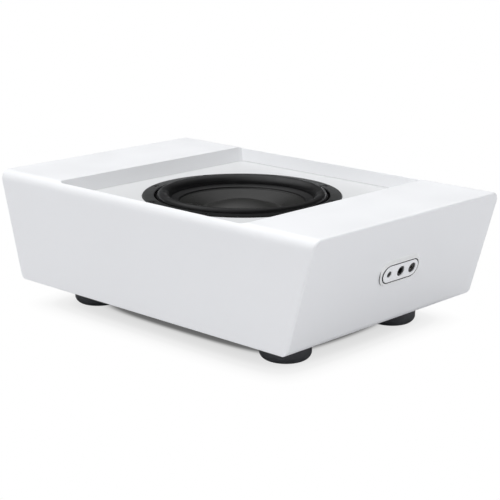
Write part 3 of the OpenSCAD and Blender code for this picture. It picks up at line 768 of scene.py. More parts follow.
def shell_profile(rim):
    """Samples (y, z, normal y, normal z) round the cabinet from the top middle by the back.

    Also returns which sample ends the straight side, and which ends the bottom edge.
    """
    reach = max(abs(y) for _, y in rim)
    right = [(y, top_z(y), *top_normal(y)[1:])
             for y in sorted(set(round(abs(y), 6) for _, y in rim)) if y < reach - 1e-6]
    right.append((reach, top_z(reach), *top_normal(reach)[1:]))
    start = asin(min(1.0, (reach - TOP_FLAT_Y) / TOP_R))
    for turn in np.linspace(start, pi / 2, 11)[1:]:
        right.append((TOP_FLAT_Y + TOP_R * sin(turn), TOP_Z - TOP_R + TOP_R * cos(turn),
                      sin(turn), cos(turn)))
    side_z = TOP_Z - TOP_R
    for share in np.linspace(0, 1, 9)[1:]:
        right.append((HALF_DEPTH, side_z + (TANGENT_Z - side_z) * share, 1.0, 0.0))
    tangent = len(right) - 1
    for turn in np.linspace(radians(LEAN), asin((END_R - BOTTOM_R) / END_R), 10)[1:]:
        right.append((HALF_DEPTH, TURN_Z - END_R * sin(turn), 1.0, 0.0))
    for turn in np.linspace(0, pi / 2, 7)[1:]:
        right.append((HALF_DEPTH - BOTTOM_R + BOTTOM_R * cos(turn),
                      BASE_Z + BOTTOM_R - BOTTOM_R * sin(turn), cos(turn), -sin(turn)))
    bottom = len(right) - 1
    right += [(y, BASE_Z, 0.0, -1.0) for y in CAVITY_YS[:3]]
    return right + [(-y, z, -ny, nz) for y, z, ny, nz in reversed(right[1:-1])], tangent, bottom


def end_rounding(sample):
    """Pairs turning from the long skin onto the right end at one profile sample."""
    y, z, ny, nz = sample
    x, end = end_outline(z)
    skin = np.array([0.0, ny, nz])
    share = min(1.0, max(0.0, (z - BASE_Z) / (TANGENT_Z - BASE_Z)))
    radius = LOW_EDGE_R + (END_EDGE_R - LOW_EDGE_R) * share
    centre = np.array([x, y, z]) - radius * (skin + end) / (1 + float(np.dot(skin, end)))
    line = [(centre + radius * normal, normal) for normal in arc(skin, end, END_STEPS)]
    line[0] = (np.array([line[0][0][0], y, z]), skin)      # keeps the row straight along X
    return line


def shell_ends(mesh, profile, lines, tangent, bottom):
    """Both end faces; the right one has the opening behind the socket plate."""
    count = len(profile)
    edge = [line[-1][0] for line in lines]
    for i in range(count):
        j = (i + 1) % count
        for k in range(END_STEPS):
            pairs = [lines[i][k], lines[j][k], lines[j][k + 1], lines[i][k + 1]]
            mesh.patch(pairs)
            mesh.patch([(point * MIRROR, normal * MIRROR) for point, normal in pairs])
    flat = [*range(tangent + 1), *range(count - tangent, count)]
    mesh.face([edge[i] * MIRROR for i in flat], END_NORMAL * MIRROR)
    for i in range(tangent, bottom):
        upper, lower = (end_outline(profile[k][1])[1] for k in (i, i + 1))
        low = [edge[i + 1]]
        if i + 1 == bottom:
            low += [np.array([TURN_X, y, BASE_Z]) for y in CAVITY_YS]
        low.append(edge[count - i - 1])
        corners = [edge[i], *low, edge[count - i]]
        normals = [upper] + [lower] * len(low) + [upper]
        mesh.face(corners, normals)
        mesh.face([corner * MIRROR for corner in corners],
                  [normal * MIRROR for normal in normals])
    path = stadium(24, 6)
    mesh.fill([[end_plan(edge[i]) for i in flat], outline(path, SOCKET_HOLE_R)], 0.0, base=ON_END)
    hole = section([(SOCKET_HOLE_R, 0.0), (SOCKET_HOLE_R, -WALL)], closed=False)
    mesh.loft(path, hole, ON_END, closed=False)


def shell_rows(mesh, profile, lines, rim):
    """Rows between the ends, split where they meet the recess and the bottom opening."""
    reach = max(abs(y) for _, y in rim)
    rim_at = {}
    for x, y in rim:
        rim_at.setdefault(round(y, 6), []).append(x)

    def rim_x(y):
        return max(abs(x) for x in rim_at.get(round(y, 6)) or rim_at[round(-y, 6)])

    def stops(y, z, end):
        inner = []
        if abs(abs(y) - reach) < 1e-6 and z > TOP_Z - 5:
            inner = sorted(set(round(x, 6) for x, near in rim if abs(near - y) < 1e-6))
        if abs(abs(y) - CAVITY_Y) < 1e-6 and z < BASE_Z + 1e-6:
            inner = [-CAVITY_X, CAVITY_X]
        return [(x, y, z) for x in (-end, *inner, end)]

    for i, sample in enumerate(profile):
        j = (i + 1) % len(profile)
        pair = (sample, profile[j])
        (y0, z0), (y1, z1) = sample[:2], profile[j][:2]
        first, second = (np.array([0.0, ny, nz]) for _, _, ny, nz in pair)
        end0, end1 = lines[i][0][0][0], lines[j][0][0][0]
        inner = None
        if all(nz > 0.01 and abs(y) <= reach + 1e-6 for y, _, _, nz in pair):
            inner = rim_x(y0), rim_x(y1)
        elif all(z < BASE_Z + 1e-6 and abs(y) <= CAVITY_Y + 1e-6 for y, z, _, _ in pair):
            inner = CAVITY_X, CAVITY_X
        if inner:
            for side in (1, -1):
                mesh.face([(side * end0, y0, z0), (side * end1, y1, z1),
                           (side * inner[1], y1, z1), (side * inner[0], y0, z0)],
                          [first, second, second, first])
            continue
        start, finish = stops(y0, z0, end0), stops(y1, z1, end1)
        mesh.face(start + finish[::-1], [first] * len(start) + [second] * len(finish))


def cavity(mesh):
    """Raw inside of the boards."""
    top_x = end_x(BAFFLE_Z) - WALL_X
    corners = [(x * top_x, y * CAVITY_Y) for x, y in ((1, 1), (-1, 1), (-1, -1), (1, -1))]
    mesh.fill([corners, ring(CUT_R, CUT_SEGMENTS)], BAFFLE_Z, -1.0, slot=1)

    def long_wall(side):
        y = side * CAVITY_Y
        mesh.face([(side * top_x, y, BAFFLE_Z), (-side * top_x, y, BAFFLE_Z),
                   (-side * CAVITY_X, y, BASE_Z), (side * CAVITY_X, y, BASE_Z)],
                  np.array([0.0, -side, 0.0]), 1)

    def end_wall(side):
        return ([(side * top_x, y, BAFFLE_Z) for y in (-side * CAVITY_Y, side * CAVITY_Y)]
                + [(side * CAVITY_X, side * y, BASE_Z) for y in CAVITY_YS])

    long_wall(1)
    mesh.face(end_wall(-1), np.array([cosd(LEAN), 0, sind(LEAN)]), 1)
    long_wall(-1)
    mesh.fill([[end_plan(point) for point in end_wall(1)], outline(stadium(24, 6), SOCKET_HOLE_R)],
              -WALL, -1.0, ON_END, slot=1)


def cabinet():
    mesh = Skin()
    rim = recess(mesh)
    profile, tangent, bottom = shell_profile(rim)
    lines = [end_rounding(sample) for sample in profile]
    shell_ends(mesh, profile, lines, tangent, bottom)
    shell_rows(mesh, profile, lines, rim)
    cavity(mesh)
    mesh.make("cabinet_shell", [LACQUER, RAW_BOARD, LACQUER_FLOOR_PAINTED_SHADE, LACQUER_WALL_PAINTED_SHADE],
              "top_baffle", "front_panel", "back_panel", "left_end_panel", "right_end_panel",
              slot="lacquer")


cabinet()

# ---------------------------------------------------------------- woofer, seen from above
# Heights of the woofer are from the recess floor.
LIP_R, LIP_Z = 68, -7.2                    # where the cone's rim changes slope
LIP_SLOPE, CONE_SLOPE = 0.215, 0.31
ROLL_OUT, ROLL_IN, ROLL_H = 91.5, 77.3, 6.75
ROLL_MID, ROLL_HALF = (ROLL_OUT + ROLL_IN) / 2, (ROLL_OUT - ROLL_IN) / 2


def lip_z(radius):
    return LIP_Z + (radius - LIP_R) * LIP_SLOPE


def cone_z(radius):
    return lip_z(radius) if radius > LIP_R else LIP_Z - (LIP_R - radius) * CONE_SLOPE


def smoothstep(value):
    value = np.clip(value, 0, 1)
    return value * value * (3 - 2 * value)


def radial_blend(target):
    """Bakes the object's placing into its mesh."""
    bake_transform(target)


def surround():
    mesh = Skin()
    steps, thick = 36, 0.9

    def roll(i, inside):
        turn = pi * i / steps
        base = -0.6 - 3.7 * (1 - cos(turn)) / 2
        return (ROLL_MID + (ROLL_HALF - inside) * cos(turn),
                base + (ROLL_H - inside) * sin(turn))

    # (radius, height, rounding): glued rim, roll, then the lip on the cone with a raised bead
    rows = section(from_floor([
        (98, -1, 0.05), (98, -0.25, 0.2), (95.8, -0.25, 0.1), (95.6, -0.95, 0.05),
        (92.3, -0.95, 0.1), (92.0, -0.6, 0.1), [roll(i, 0) for i in range(steps + 1)],
        (76.2, lip_z(76.2) + 0.85, 0.4), (70.6, lip_z(70.6) + 0.8, 0.6),
        (70.0, lip_z(70) + 1.25, 0.35), (68.6, lip_z(68.6) + 1.2, 0.4),
        (68.0, lip_z(68) + 0.05, 0.1), (68.0, lip_z(68), 0.0), (76.5, lip_z(76.5), 0.3),
        [roll(i, thick) for i in range(steps, -1, -1)], (91.2, -1, 0.2)]))
    # painted shade: the bottom of the groove in the rim is coloured near black
    gap = [1 if max(a[1], b[1]) < FLOOR_Z - 0.5 and min(a[0], b[0]) > 92.0
           and max(a[0], b[0]) < 95.8 and min(a[1], b[1]) > FLOOR_Z - 0.98 else 0
           for a, b in zip(rows, rows[1:] + rows[:1])]
    mesh.loft(circle(WOOFER_SEGMENTS), rows, slot=gap)
    made = mesh.make("surround_roll", [RUBBER, GAP_PAINTED_SHADE], "surround", slot="surround_rubber",
                     body=None)
    radial_blend(made)


def trim_ring():
    mesh = Skin()
    outer, inner, seat = 107.2, 95.0, 98.3
    low, high = FLOOR_Z - 1, FLOOR_Z + 1.2
    path = circle(WOOFER_SEGMENTS)
    outer_rows = section([(outer - 2, low), (outer, low, 0.2), (outer, high, 0.7),
                          (outer - 3, high)], 6, closed=False)[1:-1]
    mesh.loft(path, outer_rows, closed=False)
    step = FLOOR_Z - 0.2
    inner_rows = section([(inner + 4, high), (inner, high, 0.8), (inner, step), (seat, step),
                          (seat, low), (outer - 2, low)], 6, closed=False)[1:-1]
    mesh.loft(path, inner_rows, closed=False)
    # screw hole: counterbore for the head, then the shank's clearance
    ledge = FLOOR_Z - 0.1
    hole = section([(4.1 + 1.5, high), (4.1, high, 0.3), (4.1, ledge), (2.3, ledge), (2.3, low)],
                   3, closed=False)[1:]
    tops, bottoms = zip(*[mesh.bore(x, y, hole, 40) for x, y in DRIVER_PLACES])
    mesh.fill([outline(path, outer_rows[-1][0]), outline(path, inner_rows[0][0]), *tops], high)
    mesh.fill([outline(path, outer_rows[0][0]), outline(path, seat), *bottoms], low, -1.0)
    mesh.make("woofer_trim_ring", [TRIM], "trim_ring", slot="trim_plastic")


def cone():
    mesh = Skin()
    body = []                              # slightly bowed, inside a faint step near the rim
    for i in range(31):
        radius = 66.6 + (19.6 - 66.6) * i / 30
        body.append((radius, cone_z(radius) + 0.35 * sin(pi * i / 30)))
    mesh.loft(circle(WOOFER_SEGMENTS), section(from_floor([
        (76.5, cone_z(76.5)), (68.2, cone_z(68.2)), (67.4, cone_z(67.4) - 0.25, 0.3), body,
        (19.2, cone_z(19.2)), (19.2, cone_z(19.2) - 1.1), (68, cone_z(68) - 1.1, 0.4),
        (76.5, cone_z(76.5) - 1)]), 4))
    mesh.make("woofer_cone", [CONE], "cone", slot="cone_pulp", body="cone_assembly")


def dust_cap():
    mesh = Skin()
    cap_high = box_mm("dust_cap")[1]
    cap_r = round(cap_high[0] * 2) / 2
    cap_h = cap_high[2] - FLOOR_Z - cone_z(cap_r)
    peak = cone_z(cap_r) + cap_h
    thick = 0.9
    dome_r = (cap_r * cap_r + cap_h * cap_h) / (2 * cap_h)
    edge_slope = tan(asin(cap_r / dome_r))
    skirt_r = cap_r + 3.5

    def rise(radius):
        """Height over the cone; the dome melts into it through a wide soft fillet."""
        if radius <= cap_r:
            gap = peak - dome_r * (1 - sqrt(1 - (radius / dome_r) ** 2)) - cone_z(radius)
        else:
            gap = -(radius - cap_r) * (edge_slope + CONE_SLOPE)
        return 0.5 * (gap + sqrt(gap * gap + 2.2 ** 2)) + 0.36 * (radius / skirt_r) ** 3

    outside = []
    for i in range(45):
        radius = skirt_r * (1 - i / 44)
        outside.append((radius, cone_z(radius) + rise(radius)))
    inner_r = cap_r - 1
    inner_h = peak - thick - cone_z(inner_r)
    inner_dome_r = (inner_r * inner_r + inner_h * inner_h) / (2 * inner_h)
    inner_angle = degrees(asin(inner_r / inner_dome_r))
    inside = []
    for i in range(31):
        angle = inner_angle * i / 30
        inside.append((inner_dome_r * sind(angle),
                       peak - thick - inner_dome_r * (1 - cosd(angle))))
    rows = section(from_floor([outside, inside, (inner_r, cone_z(inner_r) + 0.02),
                               (skirt_r - 0.2, cone_z(skirt_r) + 0.25)]), 4)
    mesh.loft(circle(WOOFER_SEGMENTS), rows)
    mesh.make("woofer_dust_cap", [CAP], "dust_cap", slot="cone_pulp", body="cone_assembly")


surround()
trim_ring()
cone()
dust_cap()


# ---------------------------------------------------------------- screws
def screw(mesh, base, head_r, head_h, shank_r, length, socket_r, socket_depth,
          countersunk=False, segments=36):
    """Head up to head_h with a hexagon socket; ridged shank down to -length."""
    rim_r = socket_r * 1.25
    if countersunk:
        items = [(rim_r, head_h), (head_r, head_h, 0.15), (shank_r, head_h - 2.2)]
    else:
        items = [(rim_r, head_h), (head_r, head_h, min(0.45, head_h * 0.45)),
                 (head_r, 0.0, 0.08), (shank_r, 0.0)]
    pitch = max(0.7, shank_r * 0.55)
    z = -3.0 if countersunk else -0.6
    items.append((shank_r * 0.98, z))
    while z - pitch > -length + shank_r:
        items.append((shank_r, z - pitch * 0.35))
        items.append((shank_r * 0.8, z - pitch * 0.75))
        z -= pitch
    items += [(shank_r * 0.8, -length + shank_r * 0.7), (shank_r * 0.35, -length),
              (0.0, -length)]
    mesh.loft(circle(segments), flipped(section(items, 4, closed=False)), base, closed=False)
    hexagon = [(socket_r * cosd(60 * i), socket_r * sind(60 * i)) for i in range(6)]
    mesh.fill([ring(rim_r, segments), hexagon], head_h, base=base)
    place, turn = base
    floor_z = head_h - socket_depth
    for i in range(6):
        start, end = hexagon[i], hexagon[(i + 1) % 6]
        mesh.face([place((*start, head_h)), place((*end, head_h)),
                   place((*end, floor_z)), place((*start, floor_z))],
                  turn((-cosd(60 * i + 30), -sind(60 * i + 30), 0.0)))
    mesh.face([place((*corner, floor_z)) for corner in hexagon], turn((0, 0, 1.0)))


def screws(name, bases, look, replaced, slot, **sizes):
    mesh = Skin()
    for base in bases:
        screw(mesh, base, **sizes)
    mesh.make(name, [look], replaced, slot=slot)


screws("driver_screws_hex",
       [upright(x, y, FLOOR_Z - 0.1, DRIVER_ANGLES[k] + 7 * k)
        for k, (x, y) in enumerate(DRIVER_PLACES)],
       BLACK_SCREW, "driver_screws", "black_screw", head_r=3.9, head_h=1.1, shank_r=2.0,
       length=10.8, socket_r=1.6, socket_depth=0.7)


# ---------------------------------------------------------------- feet
def foot(name, x, y):
    """Bowl with a wide lower radius, a shallow band groove and a small top lip."""
    mesh = Skin()
    radius, bowl = 26.5, 8.5
    lower = [(radius - bowl + bowl * sind(angle), bowl - bowl * cosd(angle))
             for angle in np.linspace(0, 78, 22)]
    rows = section([
        (2.6, BASE_Z), (2.6, 12.0, 0.3), (7.5, 12.0), (7.5, 0.0, 0.5), lower,
        (radius - 0.06, 12.6), (radius, 13.4, 0.5), (radius, 19.2, 0.3),
        (radius - 0.55, 19.6, 0.2), (radius - 0.55, 20.4, 0.2), (radius, 20.8, 0.3),
        (radius, BASE_Z - 0.2, 0.9), (radius - 1.2, BASE_Z, 0.3)], 5)
    mesh.loft(circle(160, x, y), rows)
    mesh.make(name + "_rubber", [FOOT], name, slot="foot_rubber")


def foot_washers():
    mesh = Skin()
    rows = section([(2.6, 10.8, 0.15), (6.5, 10.8, 0.25), (6.5, 12.0, 0.15), (2.6, 12.0, 0.1)], 3)
    for x, y in FOOT_PLACES:
        mesh.loft(circle(64, x, y), rows)
    mesh.make("foot_washers_steel", [ZINC], "foot_washers", slot="steel_screw")


foot("foot_front_left", -FOOT_X, -FOOT_Y)
foot("foot_front_right", FOOT_X, -FOOT_Y)
foot("foot_back_left", -FOOT_X, FOOT_Y)
foot("foot_back_right", FOOT_X, FOOT_Y)
foot_washers()
screws("foot_screws_hex", [turned_over(upright(x, y, 10.8)) for x, y in FOOT_PLACES],
       ZINC, "foot_screws", "steel_screw", head_r=4.7, head_h=2.9, shank_r=2.4, length=26.0,
       socket_r=1.8, socket_depth=1.5)


# ---------------------------------------------------------------- socket group on the right end
# Heights here are out from the end face.
def bezel():
    """Soft hill round the plate, ending in a crisp step on the side facing front and down; its black
    strips are painted shade.
    """
    mesh = Skin()
    inner, outer, crest, painted_shadow_height = PLATE_R + 1.2, 13.3, 2.1, 0.27
    run = outer - inner - 0.9
    slope = [(inner + 0.9 + run * share, crest * (1 - share) ** 1.55)
             for share in np.linspace(0.1, 1, 12)]
    rows = section([
        (PLATE_R - 0.8, -0.5), (inner, -0.5), (inner, crest - 0.6), (inner, crest, 0.3),
        (inner + 0.8, crest, 0.5), slope, (outer + 0.02, -0.01), (outer + 0.01, -0.02),
        (PLATE_R + 2.2, -0.02), (PLATE_R + 2.2, -10.0, 0.3), (PLATE_R - 0.8, -10.0, 0.3)], 6)
    # painted shade: black foam on the walls and floor of the gap by the plate, and a thin black line
    # at the foot of the step
    slots = []
    for a, b in zip(rows, rows[1:] + rows[:1]):
        painted_shade_gap = max(a[1], b[1]) < crest - 0.4 and max(a[0], b[0]) < inner + 0.01
        shadow_line = (min(a[0], b[0]) > outer - 0.01 and min(a[1], b[1]) < -0.001
                       and max(a[1], b[1]) > -0.015)
        slots.append(1 if painted_shade_gap or shadow_line else 0)

    def lift(nx, ny, out, height):
        step = smoothstep((-nx * 0.85 - ny * 0.5 - 0.5) / 0.4)
        if height > 0.3:
            height *= 1 - 0.42 * max(0.0, -nx) ** 1.5
        # the slope runs out further on the upper side
        spread = 1.6 * max(0.0, ny)
        if out > inner + 0.85 and height > -0.001:
            share = max(0.0, (out - inner - 0.9) / run)
            return out + spread * share, height + step * 0.95 * share
        if out > outer - 0.01 and height > -0.5:
            return out + spread, height + (step * painted_shadow_height if height > -0.015 else 0.0)
        return out, height

    mesh.loft(stadium(48, 14), rows, ON_END, slots, shift=lift)
    mesh.make("socket_bezel_pad", [LACQUER_PAD, FOAM], "socket_bezel", slot="lacquer")


def plate():
    mesh = Skin()
    path = stadium(48, 14)
    low, high = -0.5, 2.0
    rows = section([(PLATE_R - 3, low), (PLATE_R, low, 0.1), (PLATE_R, high - 0.4),
                    (PLATE_R, high, 0.3), (PLATE_R - 3, high)], 5, closed=False)[1:-1]
    # painted shade: the plate's edge below its top rounding is black foam, darkening the gap round
    # the plate
    slots = [1 if max(a[1], b[1]) < high - 0.25 else 0 for a, b in zip(rows, rows[1:])]
    mesh.loft(path, rows, ON_END, slots, closed=False)
    tops, bottoms = [outline(path, rows[-1][0])], [outline(path, rows[0][0])]
    for across, radius in ((-SOCKET_PITCH, 3.4), (0.0, 5.5), (SOCKET_PITCH, 5.5)):
        hole = section([(radius + 2, high), (radius, high, 0.3), (radius, low),
                        (radius + 2, low)], 4, closed=False)[1:-1]
        top, bottom = mesh.bore(across, 0.0, hole, 72, ON_END)
        tops.append(top)
        bottoms.append(bottom)
    mesh.fill(tops, high, 1.0, ON_END)
    mesh.fill(bottoms, low, -1.0, ON_END)
    mesh.make("connector_plate_white", [PLATE, FOAM], "connector_plate", slot="white_plastic")


def jack_body(mesh, base, items):
    """Collar from the well's floor to the box behind, then that box."""
    (well_r, well_z), (back_r, back_z) = items[0], items[-1]
    half_across, half_up, box_z = 4.5, 5.5, -15.4
    place, turn = base
    mesh.loft(circle(64), flipped(section(items, 4, closed=False)), base, closed=False)
    mesh.fill([ring(well_r, 64)], well_z, 1.0, base)
    box = [(-half_across, -half_up), (half_across, -half_up), (half_across, half_up),
           (-half_across, half_up)]
    mesh.fill([box, ring(back_r, 64)], back_z, 1.0, base)
    for i in range(4):
        start, end = box[i], box[(i + 1) % 4]
        normal = turn(((start[0] + end[0]) / (2 * half_across),
                       (start[1] + end[1]) / (2 * half_up), 0.0))
        mesh.face([place((*start, back_z)), place((*end, back_z)),
                   place((*end, box_z)), place((*start, box_z))], normal)
    mesh.fill([box], box_z, -1.0, base)


def power_jack():
    """Collar with a chamfered mouth, spring contact ring and centre pin."""
    mesh = Skin()
    jack_body(mesh, ON_END, [(2.8, -9.0), (2.8, 1.2, 0.6), (5.35, 1.2, 0.25), (5.35, -0.4, 0.1),
                             (4.3, -0.4), (4.3, -3.05)])
    pin_r, pin_z = 1.0, -8.98
    pin = section([(0.0, -0.35), (0.35, -0.4, 0.1), (pin_r, -0.95, 0.3), (pin_r, pin_z)], 5,
                  closed=False)
    mesh.loft(circle(40), flipped(pin), ON_END, slot=1, closed=False)
    mesh.fill([ring(pin_r, 40)], pin_z, -1.0, ON_END, slot=1)
    spring = section([(2.45, -2.2, 0.1), (2.75, -2.2, 0.1), (2.75, -7.6, 0.1),
                      (2.45, -7.6, 0.1)], 3)
    mesh.loft(circle(64), spring, ON_END, slot=1)
    mesh.make("power_jack_socket", [JACK, CONTACT], "power_jack", slot="jack_black")


def line_jack():
    """Collar, dark well and a plated sleeve round the centre hole."""
    mesh = Skin()
    base = end_at(SOCKET_PITCH, 0)
    jack_body(mesh, base, [(1.6, -8.0), (1.6, 0.5), (2.7, 0.5, 0.25), (2.75, 1.2, 0.3),
                           (5.35, 1.2, 0.25), (5.35, -0.4, 0.1), (4.15, -0.4), (4.15, -3.05)])
    sleeve = section([(1.66, 0.52, 0.0), (1.66, 0.75, 0.1), (2.55, 0.75, 0.1),
                      (2.55, 0.52, 0.0)], 3)
    mesh.loft(circle(64), sleeve, base, slot=1)
    mesh.make("line_jack_socket", [JACK, CONTACT], "line_jack", slot="jack_black")


def button():
    mesh = Skin()
    radius = 3.32
    rows = section([
        (0.0, 1.1), (0.8, 1.1, 0.2), (0.8, 1.5, 0.15), (1.1, 1.46, 0.6), (radius, 1.22, 0.35),
        (radius, -0.5), (3.9, -0.5, 0.15), (3.9, -1.5, 0.15), (1.5, -1.5, 0.3),
        (1.5, -10.5, 0.2), (0.0, -10.5)], 5, closed=False)
    mesh.loft(circle(56), flipped(rows), end_at(-SOCKET_PITCH, 0), closed=False)
    mesh.make("pairing_button_cap", [BUTTON], "pairing_button", slot="button_black",
              body="button")


bezel()
plate()
power_jack()
line_jack()
button()


# ---------------------------------------------------------------- woofer, the moving inside
def spider():
    """Corrugated cloth between the basket and the coil former."""
    mesh = Skin()
    inner, outer, thick, steps = 21.5, 49.0, 0.6, 110

    def wave(radius):
        return -29.6 + 1.3 * sin(2 * pi * 5 * (radius - inner) / (outer - inner))

    def run(start, end, offset):
        radii = [start + (end - start) * i / steps for i in range(steps + 1)]
        return [(radius, wave(radius) + offset) for radius in radii]

    rows = section(from_floor([
        (58, -30, 0.1), (58, -29.3, 0.1), (49.6, -29.3, 0.2), run(outer, inner, thick / 2),
        (20.4, -29, 0.2), (19.8, -27.6, 0.1), (19.2, -27.6), (19.2, -30), (19.8, -30),
        run(inner, outer, -thick / 2), (49.6, -30, 0.1)]), 4)
    mesh.loft(circle(192), rows)
    made = mesh.make("spider_cloth", [SPIDER], "spider", slot="spider_cloth", body=None)
    radial_blend(made)


def tinsel_leads():
    """Two braided leads in an arc; strand crossings show as a rope-like relief."""
    mesh = Skin()
    radius, half_angle, steps, tilt = 49.6, 30.0, 150, 4.4
    strands = 12

    def braid(i, j):
        forward = sin(2 * pi * (3 * j / strands + i / 7.5))
        backward = sin(2 * pi * (3 * j / strands - i / 7.5))
        return 1.0 + 0.07 * max(forward, backward)

    for side in (-1, 1):
        points = []
        for i in range(steps + 1):
            angle = 90 + half_angle - 2 * half_angle * i / steps
            x, z = radius * cosd(angle), radius * sind(angle) - radius * cosd(half_angle)
            points.append((46.2 + x * cosd(tilt) + z * sind(tilt), side * 7.0,
                           FLOOR_Z - 26.6 - x * sind(tilt) + z * cosd(tilt)))
        mesh.sweep(points, (0, 1, 0), round_section(0.66, strands), swell=braid)
    made = mesh.make("tinsel_braids", [COPPER], "tinsel_leads", slot="copper", body=None)
    radial_blend(made)


def coil_former():
    mesh = Skin()
    mesh.loft(circle(128), section(from_floor([(19.0, -20, 0.06), (19.0, -55, 0.06),
                                               (19.2, -55, 0.06), (19.2, -20, 0.06)]), 2))
    mesh.make("coil_former_tube", [ALUMINIUM], "coil_former", slot="former_alu",
              body="cone_assembly")


def voice_coil():
    mesh = Skin()
    turns, low, height = 30, -54, 14.0
    bumps = []                             # one round bump for each turn of wire
    for k in range(turns):
        z = low + height * (k + 0.5) / turns
        bumps += [(19.95 + 0.25 * cosd(angle), z + 0.23 * sind(angle))
                  for angle in (-60, -20, 20, 60)]
    mesh.loft(circle(96), section(from_floor([(19.2, low), bumps, (19.2, low + height)]), 2))
    mesh.make("voice_coil_winding", [COPPER], "voice_coil", slot="copper", body="cone_assembly")


spider()
tinsel_leads()
coil_former()
voice_coil()


# ---------------------------------------------------------------- woofer, the fixed inside
def turned(name, items, look, replaced, slot):
    mesh = Skin()
    mesh.loft(circle(160), section(from_floor(items), 4))
    mesh.make(name, [look], replaced, slot=slot)


def sheet(name, look, replaced, slot, outer, inner, low, high, edges, holes, hole_r,
          hole_edges, hole_segments, steps):
    """Flat ring with round holes.

    Outer and inner are (path, offset from it); edges and hole_edges are the roundings at the
    bottom and at the top.
    """
    mesh = Skin()

    def side(offset, back, first, last):
        """Rounded edge between two (height, rounding) corners."""
        return section([(offset + back, first[0]), (offset, *first), (offset, *last),
                        (offset + back, last[0])], steps, closed=False)[1:-1]

    bottom, top = (low, edges[0]), (high, edges[1])
    outer_rows, inner_rows = side(outer[1], -3, bottom, top), side(inner[1], 3, top, bottom)
    mesh.loft(outer[0], outer_rows, closed=False)
    mesh.loft(inner[0], inner_rows, closed=False)
    hole = section([(hole_r + 1.5, high), (hole_r, high, hole_edges[1]),
                    (hole_r, low, hole_edges[0]), (hole_r + 1.5, low)], 3, closed=False)[1:-1]
    tops, bottoms = zip(*[mesh.bore(x, y, hole, hole_segments) for x, y in holes])
    mesh.fill([outline(outer[0], outer_rows[-1][0]), outline(inner[0], inner_rows[0][0]), *tops],
              high)
    mesh.fill([outline(outer[0], outer_rows[0][0]), outline(inner[0], inner_rows[-1][0]),
               *bottoms], low, -1.0)
    mesh.make(name, [look], replaced, slot=slot)


def round_sheet(name, look, replaced, slot, outer, inner, low, high, holes, hole_r, edge):
    """Heights are from the recess floor."""
    path = circle(160)
    sheet(name, look, replaced, slot, (path, outer), (path, inner), FLOOR_Z + low,
          FLOOR_Z + high, (edge, edge), holes, hole_r, hole_edges=(edge * 0.6, edge * 0.6),
          hole_segments=36, steps=4)


turned("magnet_ring", [
    (25, -50, 0.4), (25, -66, 0.4), (54.2, -66, 0.9), (55, -65.2, 0.5), (55, -50.8, 0.5),
    (54.2, -50, 0.9)], FERRITE, "magnet", "ferrite")
turned("pole_yoke_turned", [
    (6, -44, 0.3), (6, -70.2, 0.3), (7.8, -72, 0.3), (49.2, -72, 0.4), (50, -71.2, 0.3),
    (50, -66, 0.2), (18.3, -66, 0.3), (18.3, -46.6, 0.1), (18.1, -46.4, 0.1),
    (18.1, -45.9, 0.1), (18.3, -45.7, 0.1), (18.3, -44.5, 0.2), (17.8, -44, 0.2)],
    STEEL, "pole_yoke", "motor_steel")
round_sheet("top_plate_ring", STEEL, "top_plate", "motor_steel", outer=50, inner=20.75,
            low=-50, high=-44, holes=MOTOR_PLACES, hole_r=2.5, edge=0.3)
round_sheet("mounting_gasket_foam", FOAM, "mounting_gasket", "foam", outer=106.5, inner=97,
            low=-5, high=-4, holes=DRIVER_PLACES, hole_r=2.4, edge=0.22)
# foam tape frame under the rails
sheet("bottom_seal_foam", FOAM, "bottom_seal", "foam",
      outer=(round_rectangle(180.0, CAVITY_Y - 0.4, 1.2, 5, 20), 0),
      inner=(round_rectangle(176.0, CAVITY_Y - 15 + 1, 0.8, 5, 20), 0),
      low=BASE_Z + WALL, high=BASE_Z + WALL + 1.0, edges=(0.25, 0.35), holes=BOTTOM_PLACES,
      hole_r=2.6, hole_edges=(0.0, 0.15), hole_segments=28, steps=3)

screws("motor_screws_hex",
       [upright(x, y, FLOOR_Z - 41.5, 11 * k) for k, (x, y) in enumerate(MOTOR_PLACES)],
       ZINC, "motor_screws", "steel_screw", head_r=4.0, head_h=2.6, shank_r=2.4, length=8.0,
       socket_r=2.0, socket_depth=1.3)
screws("bottom_screws_csk",
       [turned_over(upright(x, y, BASE_Z + 0.05, x + copysign(20, y))) for x, y in BOTTOM_PLACES],
       BLACK_SCREW, "bottom_screws", "black_screw", head_r=4.2, head_h=0.0, shank_r=1.95,
       length=24.9, socket_r=1.4, socket_depth=1.0, countersunk=True)
screws("board_screws_hex",
       [upright(x, y, BOARD_TOP, x + y) for x in (118, 170) for y in (-74, 74)],
       ZINC, "board_screws", "steel_screw", head_r=2.8, head_h=2.0, shank_r=1.45, length=13.8,
       socket_r=1.2, socket_depth=1.0, segments=28)
screws("jack_screws_hex",
       [turned_over(end_at(across, up, -17.0)) for across in (-34, 34) for up in (-13, 13)],
       ZINC, "jack_screws", "steel_screw", head_r=2.8, head_h=2.0, shank_r=1.38, length=10.8,
       socket_r=1.2, socket_depth=1.0, segments=28)


# ---------------------------------------------------------------- cables
def speaker_cable():
    """Two leads with crimped sleeves near both ends."""
    mesh = Skin()
    start_x, end_x_, steps = 74.0, 118.5, 60
    start_z, end_z = FLOOR_Z - 38.5, BOARD_Z + 3.2
    for side in (-1, 1):
        points = []
        for i in range(steps + 1):
            share = i / steps
            points.append((start_x + (end_x_ - start_x) * (1 - cos(pi * share)) / 2, side * 7.0,
                           start_z + (end_z - start_z) * share))
        mesh.sweep(points, (0, 1, 0), round_section(1.27, 20), 0 if side < 0 else 1)
        for first, last in ((1, 6), (steps - 6, steps - 1)):
            mesh.sweep(points[first:last + 1], (0, 1, 0), round_section(1.45, 20), 2,
                       lambda i, j: 1.0 - 0.06 * (i % 2))
    mesh.make("speaker_cable_leads", [RED_WIRE, BLACK_WIRE, FIBRE], "speaker_cable",
              slot="wire_red")


